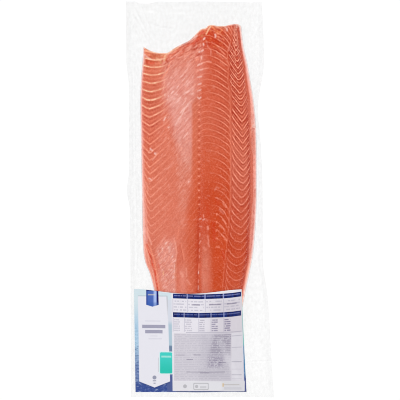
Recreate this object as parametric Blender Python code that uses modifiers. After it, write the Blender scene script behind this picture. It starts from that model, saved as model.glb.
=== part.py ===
"""Vacuum-packed raw salmon fillet: one side of salmon, flesh side up, sealed in a clear pouch,
with a label stuck over the tail end of the pouch. Metres, +Z up, +Y towards the head end.

Two solids:
  sealed_pouch  the pouch with the fillet in it, from the flat seal margins up over the fish
  label         the label, a thin sheet that drapes over the tail end and lies on the margins
"""

import bmesh
import bpy
import numpy as np
from mathutils import Vector
from mathutils.bvhtree import BVHTree

MM = 0.001

# ---------------------------------------------------------------- pouch
POUCH_LENGTH = 693 * MM          # a 250 x 700 mm bag, as sealed
POUCH_TOP = POUCH_LENGTH / 2
POUCH_BOTTOM = -POUCH_LENGTH / 2
MARGIN_THICKNESS = 1.1 * MM      # the two films of the margin with the air and folds between them
MARGIN_RIPPLE = 0.35 * MM
FILM = 0.4 * MM                  # how far the drawn-down film stands off the flesh
SKIRT = 2.2 * MM                 # the film bridges the corner at the foot of the fish
SKIRT_REACH = 6 * MM

# x of the pouch's two long sides at stations down its length (y, x), in mm
POUCH_LEFT = [(346.5, -129.5), (244, -129.0), (192, -124.3), (52, -124.3), (17, -128.0), (-22, -122.5), (-346.5, -121.1)]
POUCH_RIGHT = [(346.5, 108.5), (244, 112.0), (157, 101.2), (113, 105.0), (25, 109.4), (-106, 110.3), (-176, 119.0), (-263, 124.3), (-346.5, 129.5)]

# ---------------------------------------------------------------- fillet
TAIL_Y = -302 * MM
HEAD_Y = 307 * MM
# x of the belly edge (left) and of the back edge (right) at stations along the fillet (y, x), in mm
BELLY_EDGE = [(307, -98.5), (258, -99.3), (216, -102.6), (174, -104.2), (122, -103.4), (17, -101.5), (-88, -99.2), (-109, -95.8), (-130, -87.5), (-151, -82.0), (-246, -56.0), (-302, -33.0)]
BACK_EDGE = [(307, 71.5), (269, 76.0), (237, 83.0), (206, 88.4), (174, 93.6), (122, 98.0), (69, 99.0), (6, 99.0), (-36, 97.5), (-71, 95.0), (-99, 92.0), (-130, 86.0), (-151, 81.5), (-246, 61.0), (-302, 38.5)]
# y of the cut at the head end, against the fraction of the way from belly to back (0 to 1)
HEAD_CUT = [(0.0, 267), (0.045, 262.5), (0.106, 258), (0.167, 256.4), (0.228, 256.4), (0.309, 265), (0.39, 272), (0.47, 279), (0.51, 286), (0.552, 293), (0.593, 298.4), (0.634, 300), (0.675, 305.2), (0.715, 305.4), (0.756, 303.6), (0.836, 303.6), (0.876, 305.4), (0.957, 307), (1.0, 303.6)]
TAIL_ROUND = 9 * MM              # how far the corners of the tail end are rounded back

# thickness of the loin, the thickest part, at stations from tail (0) to head (1), in mm
LOIN_THICKNESS = [(0.0, 9.0), (0.12, 13.0), (0.25, 19.0), (0.45, 26.0), (0.65, 30.0), (0.85, 30.5), (1.0, 27.0)]
# share of that thickness from the belly edge (0) to the back edge (1)
ACROSS = [(0.0, 0.22), (0.06, 0.29), (0.15, 0.36), (0.30, 0.52), (0.45, 0.72), (0.60, 0.90), (0.75, 1.0), (0.88, 0.93), (1.0, 0.72)]
BELLY_ROUND = 7 * MM             # how far in from each edge the top rounds over
BACK_ROUND = 15 * MM
HEAD_ROUND = 9 * MM
TAIL_EDGE_ROUND = 15 * MM
MIDLINE = 0.505                  # fraction across of the groove along the middle of the side
MIDLINE_DEPTH = 1.2 * MM
MIDLINE_WIDTH = 4.5 * MM

# ---------------------------------------------------------------- label
LABEL_LEFT = [(-157, -115.5), (-337, -112.8)]
LABEL_RIGHT = [(-157, 72.5), (-235, 76.1), (-337, 81.4)]
LABEL_TOP_Y = -156.5 * MM
LABEL_BOTTOM_Y = -336.8 * MM
LABEL_SAG = 8.0 * MM             # the top edge is drawn down in the middle, over the fish
LABEL_THICKNESS = 0.4 * MM
LABEL_GAP = 0.35 * MM
LABEL_COLUMNS, LABEL_ROWS = 28, 24
DRAPE_REACH = 8 * MM             # how far the label bridges from a high spot

# ---------------------------------------------------------------- grid of the pouch's top
MARGIN_STEPS = [0.0, 0.34, 0.64, 0.84, 0.95]          # from the pouch's edge in to the fillet's edge
BELLY_STEPS = [0.0, 0.01, 0.028, 0.055, 0.09, 0.135]
BACK_STEPS = [0.915, 0.942, 0.963, 0.98, 0.992, 1.0]
MIDDLE_COLUMNS = 18
END_STEPS = [0.0, 0.005, 0.013, 0.024, 0.04]
MIDDLE_ROWS = 58


def curve_through(stations, scale=MM):
    """A smooth curve x(t) through (t, x) stations, with slopes that don't overshoot. t and x in scale."""
    pts = sorted(stations)
    t = np.array([p[0] for p in pts], float) * scale[0]
    x = np.array([p[1] for p in pts], float) * scale[1]
    h = np.diff(t)
    d = np.diff(x) / h
    m = np.zeros(len(t))
    m[0], m[-1] = d[0], d[-1]
    for k in range(1, len(t) - 1):
        if d[k - 1] * d[k] > 0:
            w1, w2 = 2 * h[k] + h[k - 1], h[k] + 2 * h[k - 1]
            m[k] = (w1 + w2) / (w1 / d[k - 1] + w2 / d[k])

    def at(v):
        v = np.clip(np.asarray(v, float), t[0], t[-1])
        k = np.clip(np.searchsorted(t, v) - 1, 0, len(t) - 2)
        u = (v - t[k]) / h[k]
        return (
            x[k] * (1 + 2 * u) * (1 - u) ** 2
            + x[k + 1] * u * u * (3 - 2 * u)
            + m[k] * h[k] * u * (1 - u) ** 2
            - m[k + 1] * h[k] * u * u * (1 - u)
        )

    return at


pouch_left = curve_through(POUCH_LEFT, (MM, MM))
pouch_right = curve_through(POUCH_RIGHT, (MM, MM))
belly_edge = curve_through(BELLY_EDGE, (MM, MM))
back_edge = curve_through(BACK_EDGE, (MM, MM))
head_cut = curve_through(HEAD_CUT, (1, MM))
loin = curve_through(LOIN_THICKNESS, (1, MM))
across = curve_through(ACROSS, (1, 1))
label_left = curve_through(LABEL_LEFT, (MM, MM))
label_right = curve_through(LABEL_RIGHT, (MM, MM))


def tail_cut(a):
    """y of the tail end at fraction a across: nearly square, with rounded corners."""
    return TAIL_Y + TAIL_ROUND * np.abs(2 * np.asarray(a, float) - 1) ** 3


def rounded(distance, reach):
    """0 at the edge, rising as a quarter circle to 1 at the given distance in."""
    k = np.clip(distance / reach, 0, 1)
    return np.sqrt(1 - (1 - k) ** 2)


def pouch_height(x, y):
    """Height of the pouch's top at (x, y): the fillet under its film, and the margins round it."""
    x0, x1 = belly_edge(y), back_edge(y)
    a = (x - x0) / (x1 - x0)
    ac = np.clip(a, 0, 1)
    from_belly, from_back = x - x0, x1 - x
    from_head, from_tail = head_cut(ac) - y, y - tail_cut(ac)
    inside = np.minimum(np.minimum(from_belly, from_back), np.minimum(from_head, from_tail))
    s = (y - TAIL_Y) / (HEAD_Y - TAIL_Y)
    body = loin(s) * across(ac)
    body = body - MIDLINE_DEPTH * np.exp(-(((a - MIDLINE) * (x1 - x0)) / MIDLINE_WIDTH) ** 2)
    body = (
        body
        * rounded(from_belly, BELLY_ROUND)
        * rounded(from_back, BACK_ROUND)
        * rounded(from_head, HEAD_ROUND)
        * rounded(from_tail, TAIL_EDGE_ROUND)
    )
    skirt = SKIRT * np.exp(-np.abs(inside) / SKIRT_REACH)
    ripple = MARGIN_RIPPLE * np.sin(x / (23 * MM) + 1.3 * np.sin(y / (61 * MM))) * np.sin(y / (37 * MM) + x / (90 * MM))
    return MARGIN_THICKNESS + ripple + FILM + np.hypot(np.maximum(body, 0), skirt)


def grid_point(a, b):
    """Where column a and row b of the grid cross. 0 to 1 is the fillet, -1 to 0 and 1 to 2 the margins."""
    ac, bc = min(max(a, 0.0), 1.0), min(max(b, 0.0), 1.0)
    y_tail, y_head = float(tail_cut(ac)), float(head_cut(ac))
    y = y_tail + bc * (y_head - y_tail)
    x0, x1 = float(belly_edge(y)), float(back_edge(y))
    x = x0 + ac * (x1 - x0)
    if b > 1:
        y += (b - 1) * (POUCH_TOP - y)
    if b < 0:
        y += -b * (POUCH_BOTTOM - y)
        x += -b * 1.1 * (x - 3 * MM)
    if a < 0:
        x += -a * (float(pouch_left(y)) - x)
    if a > 1:
        x += (a - 1) * (float(pouch_right(y)) - x)
    return x, y


def steps(start, middle, end, first, last):
    """Positions of the grid lines: margin, edge, evenly spaced middle, edge, margin."""
    inner = [start[-1] + (end[0] - start[-1]) * k / middle for k in range(1, middle)]
    low = [f - 1 for f in first]
    high = [2 - f for f in reversed(last)]
    return low + start + inner + end + high


def material(name, colour, roughness):
    m = bpy.data.materials.new(name)
    m.use_nodes = True
    shader = m.node_tree.nodes["Principled BSDF"]
    shader.inputs["Base Color"].default_value = (*colour, 1)
    shader.inputs["Roughness"].default_value = roughness
    shader.inputs["Metallic"].default_value = 0.0
    return m


def new_object(name, bm, collection, mat):
    mesh = bpy.data.meshes.new(name)
    bm.normal_update()
    bm.to_mesh(mesh)
    mesh.materials.append(mat)
    obj = bpy.data.objects.new(name, mesh)
    collection.objects.link(obj)
    mesh.shade_smooth()
    mesh.set_sharp_from_angle(angle=0.9)
    return obj


def grid(columns, rows):
    """A flat grid of columns x rows cells, and its vertices by column and row."""
    bm = bmesh.new()
    bmesh.ops.create_grid(bm, x_segments=columns, y_segments=rows, size=1.0)
    ordered = sorted(bm.verts, key=lambda v: (round(v.co.y, 6), round(v.co.x, 6)))
    table = [[ordered[j * (columns + 1) + i] for j in range(rows + 1)] for i in range(columns + 1)]
    return bm, table


def build_pouch(collection):
    a_lines = steps(BELLY_STEPS, MIDDLE_COLUMNS, BACK_STEPS, MARGIN_STEPS, MARGIN_STEPS)
    b_lines = steps(END_STEPS, MIDDLE_ROWS, [1 - s for s in reversed(END_STEPS)], MARGIN_STEPS, MARGIN_STEPS)
    bm, table = grid(len(a_lines) - 1, len(b_lines) - 1)
    for i, a in enumerate(a_lines):
        for j, b in enumerate(b_lines):
            x, y = grid_point(a, b)
            table[i][j].co = Vector((x, y, float(pouch_height(x, y))))
    # the top's border, drawn straight down to the table, and one flat face underneath
    top = list(bm.faces)
    made = bmesh.ops.extrude_face_region(bm, geom=top)["geom"]
    lower = [f for f in made if isinstance(f, bmesh.types.BMFace)]
    for v in (g for g in made if isinstance(g, bmesh.types.BMVert)):
        v.co.z = 0.0
    bmesh.ops.dissolve_faces(bm, faces=lower, use_verts=False)
    bmesh.ops.recalc_face_normals(bm, faces=bm.faces)
    mat = material("salmon_in_clear_film", (0.62, 0.155, 0.07), 0.22)
    return new_object("sealed_pouch", bm, collection, mat)


def draped_height(pouch):
    """The height at which a sheet lies on the pouch, as a function of (x, y): it bridges from high spots."""
    bm = bmesh.new()
    bm.from_mesh(pouch.data)
    tree = BVHTree.FromBMesh(bm)
    cell = 2 * MM
    x0, y0 = -125 * MM, -346 * MM
    nx, ny = 108, 100
    z = np.zeros((nx, ny))
    for i in range(nx):
        for j in range(ny):
            hit = tree.ray_cast(Vector((x0 + i * cell, y0 + j * cell, 0.2)), Vector((0, 0, -1)))[0]
            z[i, j] = hit.z if hit else 0.0
    bm.free()
    reach = int(round(DRAPE_REACH / cell))
    pad = np.pad(z, reach, mode="edge")
    high = z.copy()
    for di in range(-reach, reach + 1):
        for dj in range(-reach, reach + 1):
            if di * di + dj * dj <= reach * reach:
                high = np.maximum(high, pad[reach + di:reach + di + nx, reach + dj:reach + dj + ny])

    def at(x, y):
        fi = min(max((x - x0) / cell, 0), nx - 1.001)
        fj = min(max((y - y0) / cell, 0), ny - 1.001)
        i, j = int(fi), int(fj)
        u, v = fi - i, fj - j
        return (
            high[i, j] * (1 - u) * (1 - v) + high[i + 1, j] * u * (1 - v)
            + high[i, j + 1] * (1 - u) * v + high[i + 1, j + 1] * u * v
        )

    return at


def build_label(collection, pouch):
    height = draped_height(pouch)
    bm, table = grid(LABEL_COLUMNS, LABEL_ROWS)
    for i in range(LABEL_COLUMNS + 1):
        u = i / LABEL_COLUMNS
        top = LABEL_TOP_Y - LABEL_SAG * np.sin(np.pi * min(u / 1.02, 1)) ** 1.4
        for j in range(LABEL_ROWS + 1):
            y = LABEL_BOTTOM_Y + (top - LABEL_BOTTOM_Y) * j / LABEL_ROWS
            x = float(label_left(y)) * (1 - u) + float(label_right(y)) * u
            table[i][j].co = Vector((x, y, height(x, y) + LABEL_GAP))
    mat = material("printed_label", (0.78, 0.78, 0.80), 0.35)
    obj = new_object("label", bm, collection, mat)
    solid = obj.modifiers.new("thickness", "SOLIDIFY")
    solid.thickness = LABEL_THICKNESS
    solid.offset = 1.0
    return obj


def main():
    for obj in list(bpy.data.objects):
        bpy.data.objects.remove(obj)
    collection = bpy.data.collections.new("packed_salmon_fillet")
    bpy.context.scene.collection.children.link(collection)
    pouch = build_pouch(collection)
    label = build_label(collection, pouch)
    # the middle of the pouch's underside is the origin
    co = np.array([v.co for v in pouch.data.vertices])
    middle = (co.min(0) + co.max(0)) / 2
    for obj in (pouch, label):
        for v in obj.data.vertices:
            v.co.x -= middle[0]
            v.co.y -= middle[1]


main()
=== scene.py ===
"""Looks of the vacuum-packed raw salmon fillet: the flesh with its flakes, the skin, the clear pouch and the printed label.

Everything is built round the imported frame. Lengths are metres unless a name says otherwise.
PX is the step of the working grid that the drawing of the flesh uses: 1 unit = 1.75 mm,
u runs to the right and v runs down from the head end, u = 200 and v = 199.5 at the origin.
"""

import math

import bmesh
import bpy
import numpy as np
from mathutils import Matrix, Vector


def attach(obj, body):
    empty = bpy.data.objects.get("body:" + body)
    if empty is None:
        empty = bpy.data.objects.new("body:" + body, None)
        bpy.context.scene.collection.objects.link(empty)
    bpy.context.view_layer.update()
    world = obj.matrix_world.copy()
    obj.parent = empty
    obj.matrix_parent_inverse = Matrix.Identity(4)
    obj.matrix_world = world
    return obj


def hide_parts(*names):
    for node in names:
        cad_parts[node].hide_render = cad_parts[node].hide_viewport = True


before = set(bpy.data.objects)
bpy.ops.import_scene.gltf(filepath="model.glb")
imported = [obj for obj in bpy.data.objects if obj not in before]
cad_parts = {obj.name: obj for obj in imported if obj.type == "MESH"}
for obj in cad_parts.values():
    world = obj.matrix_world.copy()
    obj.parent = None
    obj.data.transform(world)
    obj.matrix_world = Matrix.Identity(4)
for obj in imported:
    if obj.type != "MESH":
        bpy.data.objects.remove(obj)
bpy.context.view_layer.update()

MM = 0.001
PX = 1.75 * MM
U0, V0 = 200.0, 199.5


# ================================================================ curves and small fields
def pchip(stations):
    """A smooth curve through (t, x) stations, with slopes that don't overshoot."""
    pts = sorted(stations)
    t = np.array([p[0] for p in pts], float)
    x = np.array([p[1] for p in pts], float)
    h = np.diff(t)
    d = np.diff(x) / h
    m = np.zeros(len(t))
    m[0], m[-1] = d[0], d[-1]
    for k in range(1, len(t) - 1):
        if d[k - 1] * d[k] > 0:
            w1, w2 = 2 * h[k] + h[k - 1], h[k] + 2 * h[k - 1]
            m[k] = (w1 + w2) / (w1 / d[k - 1] + w2 / d[k])

    def at(v):
        v = np.clip(np.asarray(v, float), t[0], t[-1])
        k = np.clip(np.searchsorted(t, v) - 1, 0, len(t) - 2)
        u = (v - t[k]) / h[k]
        return (
            x[k] * (1 + 2 * u) * (1 - u) ** 2
            + x[k + 1] * u * u * (3 - 2 * u)
            + m[k] * h[k] * u * (1 - u) ** 2
            - m[k + 1] * h[k] * u * u * (1 - u)
        )

    return at


def step(x, lo, hi):
    """0 below lo, 1 above hi, smooth between; also for lo > hi, where it falls."""
    t = np.clip((np.asarray(x, float) - lo) / (hi - lo), 0, 1)
    return t * t * (3 - 2 * t)


def window(x, a, b, c, d):
    """Rises from a to b and falls from c to d."""
    return step(x, a, b) * (1 - step(x, c, d))


def bell(x, centre, width):
    return np.exp(-(((x - centre) / width) ** 2))


def capsule(u, v, u0, v0, u1, v1, r):
    """1 on the line between two points, fading to 0 at the distance r."""
    du, dv = u1 - u0, v1 - v0
    n = max(du * du + dv * dv, 1e-9)
    t = np.clip(((u - u0) * du + (v - v0) * dv) / n, 0, 1)
    d = np.hypot(u - u0 - t * du, v - v0 - t * dv)
    return step(d, r, r * 0.25)


def hash2(i, j, seed):
    h = np.sin(i * 127.1 + j * 311.7 + seed * 74.7) * 43758.5453
    return h - np.floor(h)


def noise2(x, y, seed=0):
    """Smooth value noise, -1 to 1."""
    i, j = np.floor(x), np.floor(y)
    a, b = x - i, y - j
    a, b = a * a * (3 - 2 * a), b * b * (3 - 2 * b)
    n = (
        hash2(i, j, seed) * (1 - a) * (1 - b)
        + hash2(i + 1, j, seed) * a * (1 - b)
        + hash2(i, j + 1, seed) * (1 - a) * b
        + hash2(i + 1, j + 1, seed) * a * b
    )
    return n * 2 - 1


def fractal(x, y, seed=0, octaves=3):
    total, amp, norm = 0.0, 1.0, 0.0
    for k in range(octaves):
        total = total + amp * noise2(x * 2**k, y * 2**k, seed + 11 * k)
        norm += amp
        amp *= 0.55
    return total / norm


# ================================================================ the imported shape, in mm
POUCH_LEFT = [(346.5, -129.5), (244, -129.0), (192, -124.3), (52, -124.3), (17, -128.0), (-22, -122.5), (-346.5, -121.1)]
POUCH_RIGHT = [(346.5, 108.5), (244, 112.0), (157, 101.2), (113, 105.0), (25, 109.4), (-106, 110.3), (-176, 119.0), (-263, 124.3), (-346.5, 129.5)]
POUCH_END = 346.5
TAIL_Y, HEAD_Y, TAIL_ROUND = -302.0, 307.0, 9.0
BELLY_EDGE = [(307, -98.5), (258, -99.3), (216, -102.6), (174, -104.2), (122, -103.4), (17, -101.5), (-88, -99.2), (-109, -95.8), (-130, -87.5), (-151, -82.0), (-246, -56.0), (-302, -33.0)]
BACK_EDGE = [(307, 71.5), (269, 76.0), (237, 83.0), (206, 88.4), (174, 93.6), (122, 98.0), (69, 99.0), (6, 99.0), (-36, 97.5), (-71, 95.0), (-99, 92.0), (-130, 86.0), (-151, 81.5), (-246, 61.0), (-302, 38.5)]
HEAD_CUT = [(0.0, 267), (0.045, 262.5), (0.106, 258), (0.167, 256.4), (0.228, 256.4), (0.309, 265), (0.39, 272), (0.47, 279), (0.51, 286), (0.552, 293), (0.593, 298.4), (0.634, 300), (0.675, 305.2), (0.715, 305.4), (0.756, 303.6), (0.836, 303.6), (0.876, 305.4), (0.957, 307), (1.0, 303.6)]
LOIN_THICKNESS = [(0.0, 9.0), (0.12, 13.0), (0.25, 19.0), (0.45, 26.0), (0.65, 30.0), (0.85, 30.5), (1.0, 27.0)]
ACROSS = [(0.0, 0.22), (0.06, 0.29), (0.15, 0.36), (0.30, 0.52), (0.45, 0.72), (0.60, 0.90), (0.75, 1.0), (0.88, 0.93), (1.0, 0.72)]
BELLY_ROUND, BACK_ROUND, HEAD_ROUND, TAIL_EDGE_ROUND = 7.0, 15.0, 9.0, 15.0
MIDLINE, MIDLINE_DEPTH, MIDLINE_WIDTH = 0.505, 1.2, 4.5
LABEL_LEFT = [(-157, -115.5), (-337, -112.8)]
LABEL_RIGHT = [(-157, 72.5), (-235, 76.1), (-337, 81.4)]
LABEL_TOP_Y, LABEL_BOTTOM_Y, LABEL_SAG = -156.5, -336.8, 8.0

BASE = 0.9          # underside of the flesh, on the skin
GAP = 0.25          # from the flesh to the film drawn down on it
MARGIN = 0.95       # height of the upper film in the margins
SKIRT, SKIRT_REACH = 2.2, 6.0

pouch_left, pouch_right = pchip(POUCH_LEFT), pchip(POUCH_RIGHT)
belly_edge, back_edge = pchip(BELLY_EDGE), pchip(BACK_EDGE)
head_cut, loin, across = pchip(HEAD_CUT), pchip(LOIN_THICKNESS), pchip(ACROSS)
label_left, label_right = pchip(LABEL_LEFT), pchip(LABEL_RIGHT)


def tail_cut(a):
    return TAIL_Y + TAIL_ROUND * np.abs(2 * np.asarray(a, float) - 1) ** 3


def rounded(distance, reach):
    k = np.clip(distance / reach, 0, 1)
    return np.sqrt(1 - (1 - k) ** 2)


def edges(x, y):
    """Fraction across, and the distances in mm from the belly, back, head and tail edges."""
    x0, x1 = belly_edge(y), back_edge(y)
    a = (x - x0) / (x1 - x0)
    ac = np.clip(a, 0, 1)
    return a, x - x0, x1 - x, head_cut(ac) - y, y - tail_cut(ac)


def body_height(x, y):
    """Height of the flesh over its underside, and how far inside the outline each point is, in mm."""
    a, from_belly, from_back, from_head, from_tail = edges(x, y)
    ac = np.clip(a, 0, 1)
    s = (y - TAIL_Y) / (HEAD_Y - TAIL_Y)
    body = loin(s) * across(ac)
    x0, x1 = belly_edge(y), back_edge(y)
    body = body - MIDLINE_DEPTH * np.exp(-(((a - MIDLINE) * (x1 - x0)) / MIDLINE_WIDTH) ** 2)
    body = (
        body
        * rounded(from_belly, BELLY_ROUND)
        * rounded(from_back, BACK_ROUND)
        * rounded(from_head, HEAD_ROUND)
        * rounded(from_tail, TAIL_EDGE_ROUND)
    )
    inside = np.minimum(np.minimum(from_belly, from_back), np.minimum(from_head, from_tail))
    return np.maximum(body, 0), inside


# ================================================================ flakes: where the white sheets between the muscle blocks run
# A sheet meets the surface in a line  v = w + D(u, w):  w is where its vertex near the back lies, D its rise from there.
FLAKE_RISE = {
    50: [(144, -2.6), (150, -1.2), (156, 0), (160, 0.3), (165, -0.6), (170, -3), (175, -7), (180, -11.5), (185, -16), (190, -20), (196, -24.5), (201, -27), (206, -28.3), (211, -27.5), (216, -25), (220, -22.6), (224, -20), (226.6, -17.2), (229, -13.4), (232.2, -8.4), (234, -4.6), (235.8, 0), (238.2, -5.5), (240.6, -11.5), (243, -18), (245, -24)],
    70: [(142, 3.6), (144, 4.4), (150, 6), (156, 6), (160, 5.2), (165, 3.5), (170, 0.4), (175, -4), (180, -8.7), (185, -13.5), (190, -17.7), (196, -22.3), (201, -25), (206, -26.6), (211, -25.8), (216, -23.5), (220, -21.2), (224, -18.4), (227.6, -15.2), (229.5, -12.6), (231.5, -9.6), (233.5, -6.4), (235.6, -3.2), (237.6, 0), (240, -3.6), (242.5, -7.6), (245, -12), (247, -16.5), (249, -22)],
    90: [(141, 9.6), (143.7, 11), (146.5, 12.4), (149.5, 13.2), (153, 12.8), (156, 11.9), (160, 10.2), (165, 7.6), (170, 3.8), (175, -1), (180, -6), (185, -11), (190, -15.5), (195, -19.5), (199.5, -22.5), (203.7, -24.3), (206.4, -25), (209.5, -24.6), (213.3, -23.3), (216.4, -22), (221, -19), (224.8, -16), (228.9, -13.4), (230.4, -11), (231.7, -8.7), (235.4, -4.6), (239.3, 0), (242, -3.2), (243.8, -6.3), (245.5, -10.5), (247, -15), (249, -20)],
    120: [(141, 13.5), (143.4, 16), (147, 19.2), (149.5, 21.7), (152, 20.2), (155, 17.7), (160, 13.7), (165, 9.8), (170, 5.4), (175, 0), (180, -6.5), (185, -13), (190, -19), (195, -24), (199.5, -27.5), (203, -29.2), (206.4, -30), (209.5, -29.6), (213, -28.6), (217.9, -27), (221, -25.2), (224.8, -22.8), (228.6, -19.5), (230.3, -17), (231.2, -14.6), (232.5, -12), (237, -6.1), (241.6, 0), (244.6, -4.2), (247.5, -9.2), (249.5, -13.5), (251, -17), (254, -23)],
    150: [(141.5, 11), (143.7, 15.2), (146.5, 19.2), (149.8, 23.7), (152.3, 22), (155, 19.6), (160, 15.4), (165, 11.4), (170, 6.6), (175, 1), (180, -6), (185, -13), (190, -19.9), (195, -25.8), (199.5, -29.9), (203, -32.1), (206.4, -33), (209.5, -32.6), (213, -31.6), (217, -30), (221, -28.2), (224.8, -25.7), (228.6, -22), (230.3, -19), (231.2, -16.4), (232.4, -14), (234.8, -9.7), (238.5, -5.2), (242.5, 0), (245.5, -3.9), (248, -7.4), (250, -11), (251.5, -15), (254, -21.5)],
    170: [(142, 8.5), (144, 14.2), (146, 19), (148, 23.2), (150.5, 26.8), (152.5, 25), (155, 22.6), (160, 18), (165, 13.4), (170, 8.2), (175, 2), (180, -5.5), (185, -13), (190, -20.5), (195, -27), (199.5, -31.5), (203, -34), (206.4, -35), (209.5, -34.7), (213, -33.8), (216.4, -32.6), (221, -30.2), (224.8, -27.6), (228.6, -24.5), (230.4, -21), (231.7, -16), (233.6, -11.3), (236.3, -7), (240.1, -2.7), (243, 0), (246.2, -3.4), (248.9, -8.4), (251, -13), (254, -20), (256, -25)],
    220: [(143, 7.5), (145, 14.5), (146.5, 19.4), (148, 23.4), (150, 27), (152.5, 29.6), (156, 26.3), (160, 22.6), (164, 18.9), (168, 14.7), (172, 10), (176, 4), (180, -2.5), (185, -11), (190, -19.5), (194, -24.5), (198, -28.5), (202, -31), (206, -32), (210, -31.8), (214, -31), (218, -30), (221, -28.5), (224, -26.5), (227, -23), (229, -20), (230, -16), (230.9, -11.8), (232, -9.0), (233.6, -6.6), (235.5, -4.6), (237.8, -2.5), (240.6, 0), (242.5, -1.8), (246.2, -6.4), (249.3, -11.4), (251.2, -15.3), (254, -22)],
    265: [(148, 8), (151, 17), (154, 25), (157, 28.5), (160, 26), (164, 22.3), (168, 18), (172, 13), (176, 6.5), (180, -0.5), (184, -7.5), (188, -14), (192, -19.5), (196, -24), (200, -27.5), (204, -29.5), (208, -30), (212, -29.5), (216, -28), (219, -26), (222, -22.5), (224.3, -18), (225.5, -13), (226.5, -9), (227.9, -6.1), (231.7, -2.3), (236, 0), (240.9, -1.9), (245, -6.5), (247, -10), (249, -14), (252, -20)],
}
# the number of the sheet at each vertex position w: about 10 mm from one to the next
FLAKE_COUNT = pchip([(20, -11), (30, -9.3), (47, -6.1), (52.5, -5), (81.7, 0), (107.8, 4), (114.7, 5), (130.7, 7), (150.5, 10), (191.1, 16), (242.8, 23), (273, 27), (320, 33.4), (420, 47)])
FINE = np.arange(130, 270.01, 0.25)


def smoothed(values, sigma):
    r = int(4 * sigma) + 1
    k = np.exp(-0.5 * (np.arange(-r, r + 1) / sigma) ** 2)
    k /= k.sum()
    return np.convolve(np.pad(values, r, mode="reflect", reflect_type="odd"), k, "valid")


def rise_table():
    rows = []
    for level, pts in sorted(FLAKE_RISE.items()):
        xs, ds = np.array(pts, float).T
        row = np.interp(FINE, xs, ds)
        lo, hi = FINE < xs[0], FINE > xs[-1]
        row[lo] = ds[0] + (FINE[lo] - xs[0]) * (ds[1] - ds[0]) / (xs[1] - xs[0])
        row[hi] = ds[-1] + (FINE[hi] - xs[-1]) * (ds[-1] - ds[-2]) / (xs[-1] - xs[-2])
        rows.append(smoothed(row, {170: 0.35, 220: 0.4, 265: 0.7}.get(level, 0.3) / 0.25))
    return np.array(rows), np.array(sorted(FLAKE_RISE), float)


RISE, LEVELS = rise_table()


def rise(u, w):
    f = np.clip((u - FINE[0]) / 0.25, 0, len(FINE) - 1.001)
    i = f.astype(int)
    p = f - i
    w = np.clip(w, LEVELS[0], LEVELS[-1])
    k = np.clip(np.searchsorted(LEVELS, w, side="right") - 1, 0, len(LEVELS) - 2)
    q = (w - LEVELS[k]) / (LEVELS[k + 1] - LEVELS[k])
    return (RISE[k, i] * (1 - p) + RISE[k, i + 1] * p) * (1 - q) + (RISE[k + 1, i] * (1 - p) + RISE[k + 1, i + 1] * p) * q


def flake_phase(u, v):
    """The running number of the flakes at (u, v): whole at a sheet between two flakes."""
    w = np.array(v, float)
    for _ in range(24):
        w = 0.5 * w + 0.5 * (v - rise(u, w))
    return FLAKE_COUNT(w)


def flake_fields(u, v):
    """Phase, and how fast it changes per unit of u and v."""
    e = 0.2
    n = flake_phase(u, v)
    gu = (flake_phase(u + e, v) - flake_phase(u - e, v)) / (2 * e)
    gv = (flake_phase(u, v + e) - flake_phase(u, v - e)) / (2 * e)
    return n, np.maximum(np.hypot(gu, gv), 0.05)


SEPTUM = pchip([(20, 232), (41, 231), (55, 227.5), (70, 228.4), (81, 228), (92, 229.4), (110, 230.5), (126, 229.8), (136, 230.5), (196, 230.5), (215, 229.5), (228, 228.7), (240, 227.2), (250, 226.3), (257, 225.6), (263, 224.8), (285, 223), (380, 212)])
SEAM = pchip([(20, 204), (40, 203.4), (65, 200.8), (85, 199.6), (200, 199.6), (285, 199), (380, 197)])


# ================================================================ colour
def linear(c):
    c = np.asarray(c, float) / 255
    return np.where(c <= 0.04045, c / 12.92, ((c + 0.055) / 1.055) ** 2.4)


FLESH_GAIN, FLESH_VEIL = 1.11, 0.011    # what the film and the light do to the flesh's own colour


def flesh(*c):
    """The flesh's own colour that shows as c (0 to 255) under the film."""
    return np.clip((linear(c) - FLESH_VEIL) / FLESH_GAIN, 0.0, 0.97)


def ramp(t, stations):
    """A colour that changes along t, through (t, (r, g, b)) stations."""
    ts = [s[0] for s in stations]
    cs = np.array([flesh(*s[1]) for s in stations])
    return np.stack([np.interp(t, ts, cs[:, k]) for k in range(3)], -1)


def over(base, colour, mask):
    colour = np.asarray(colour, float)
    if colour.ndim == 1:
        colour = colour[None, :]
    return base * (1 - mask[:, None]) + colour * mask[:, None]


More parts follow.
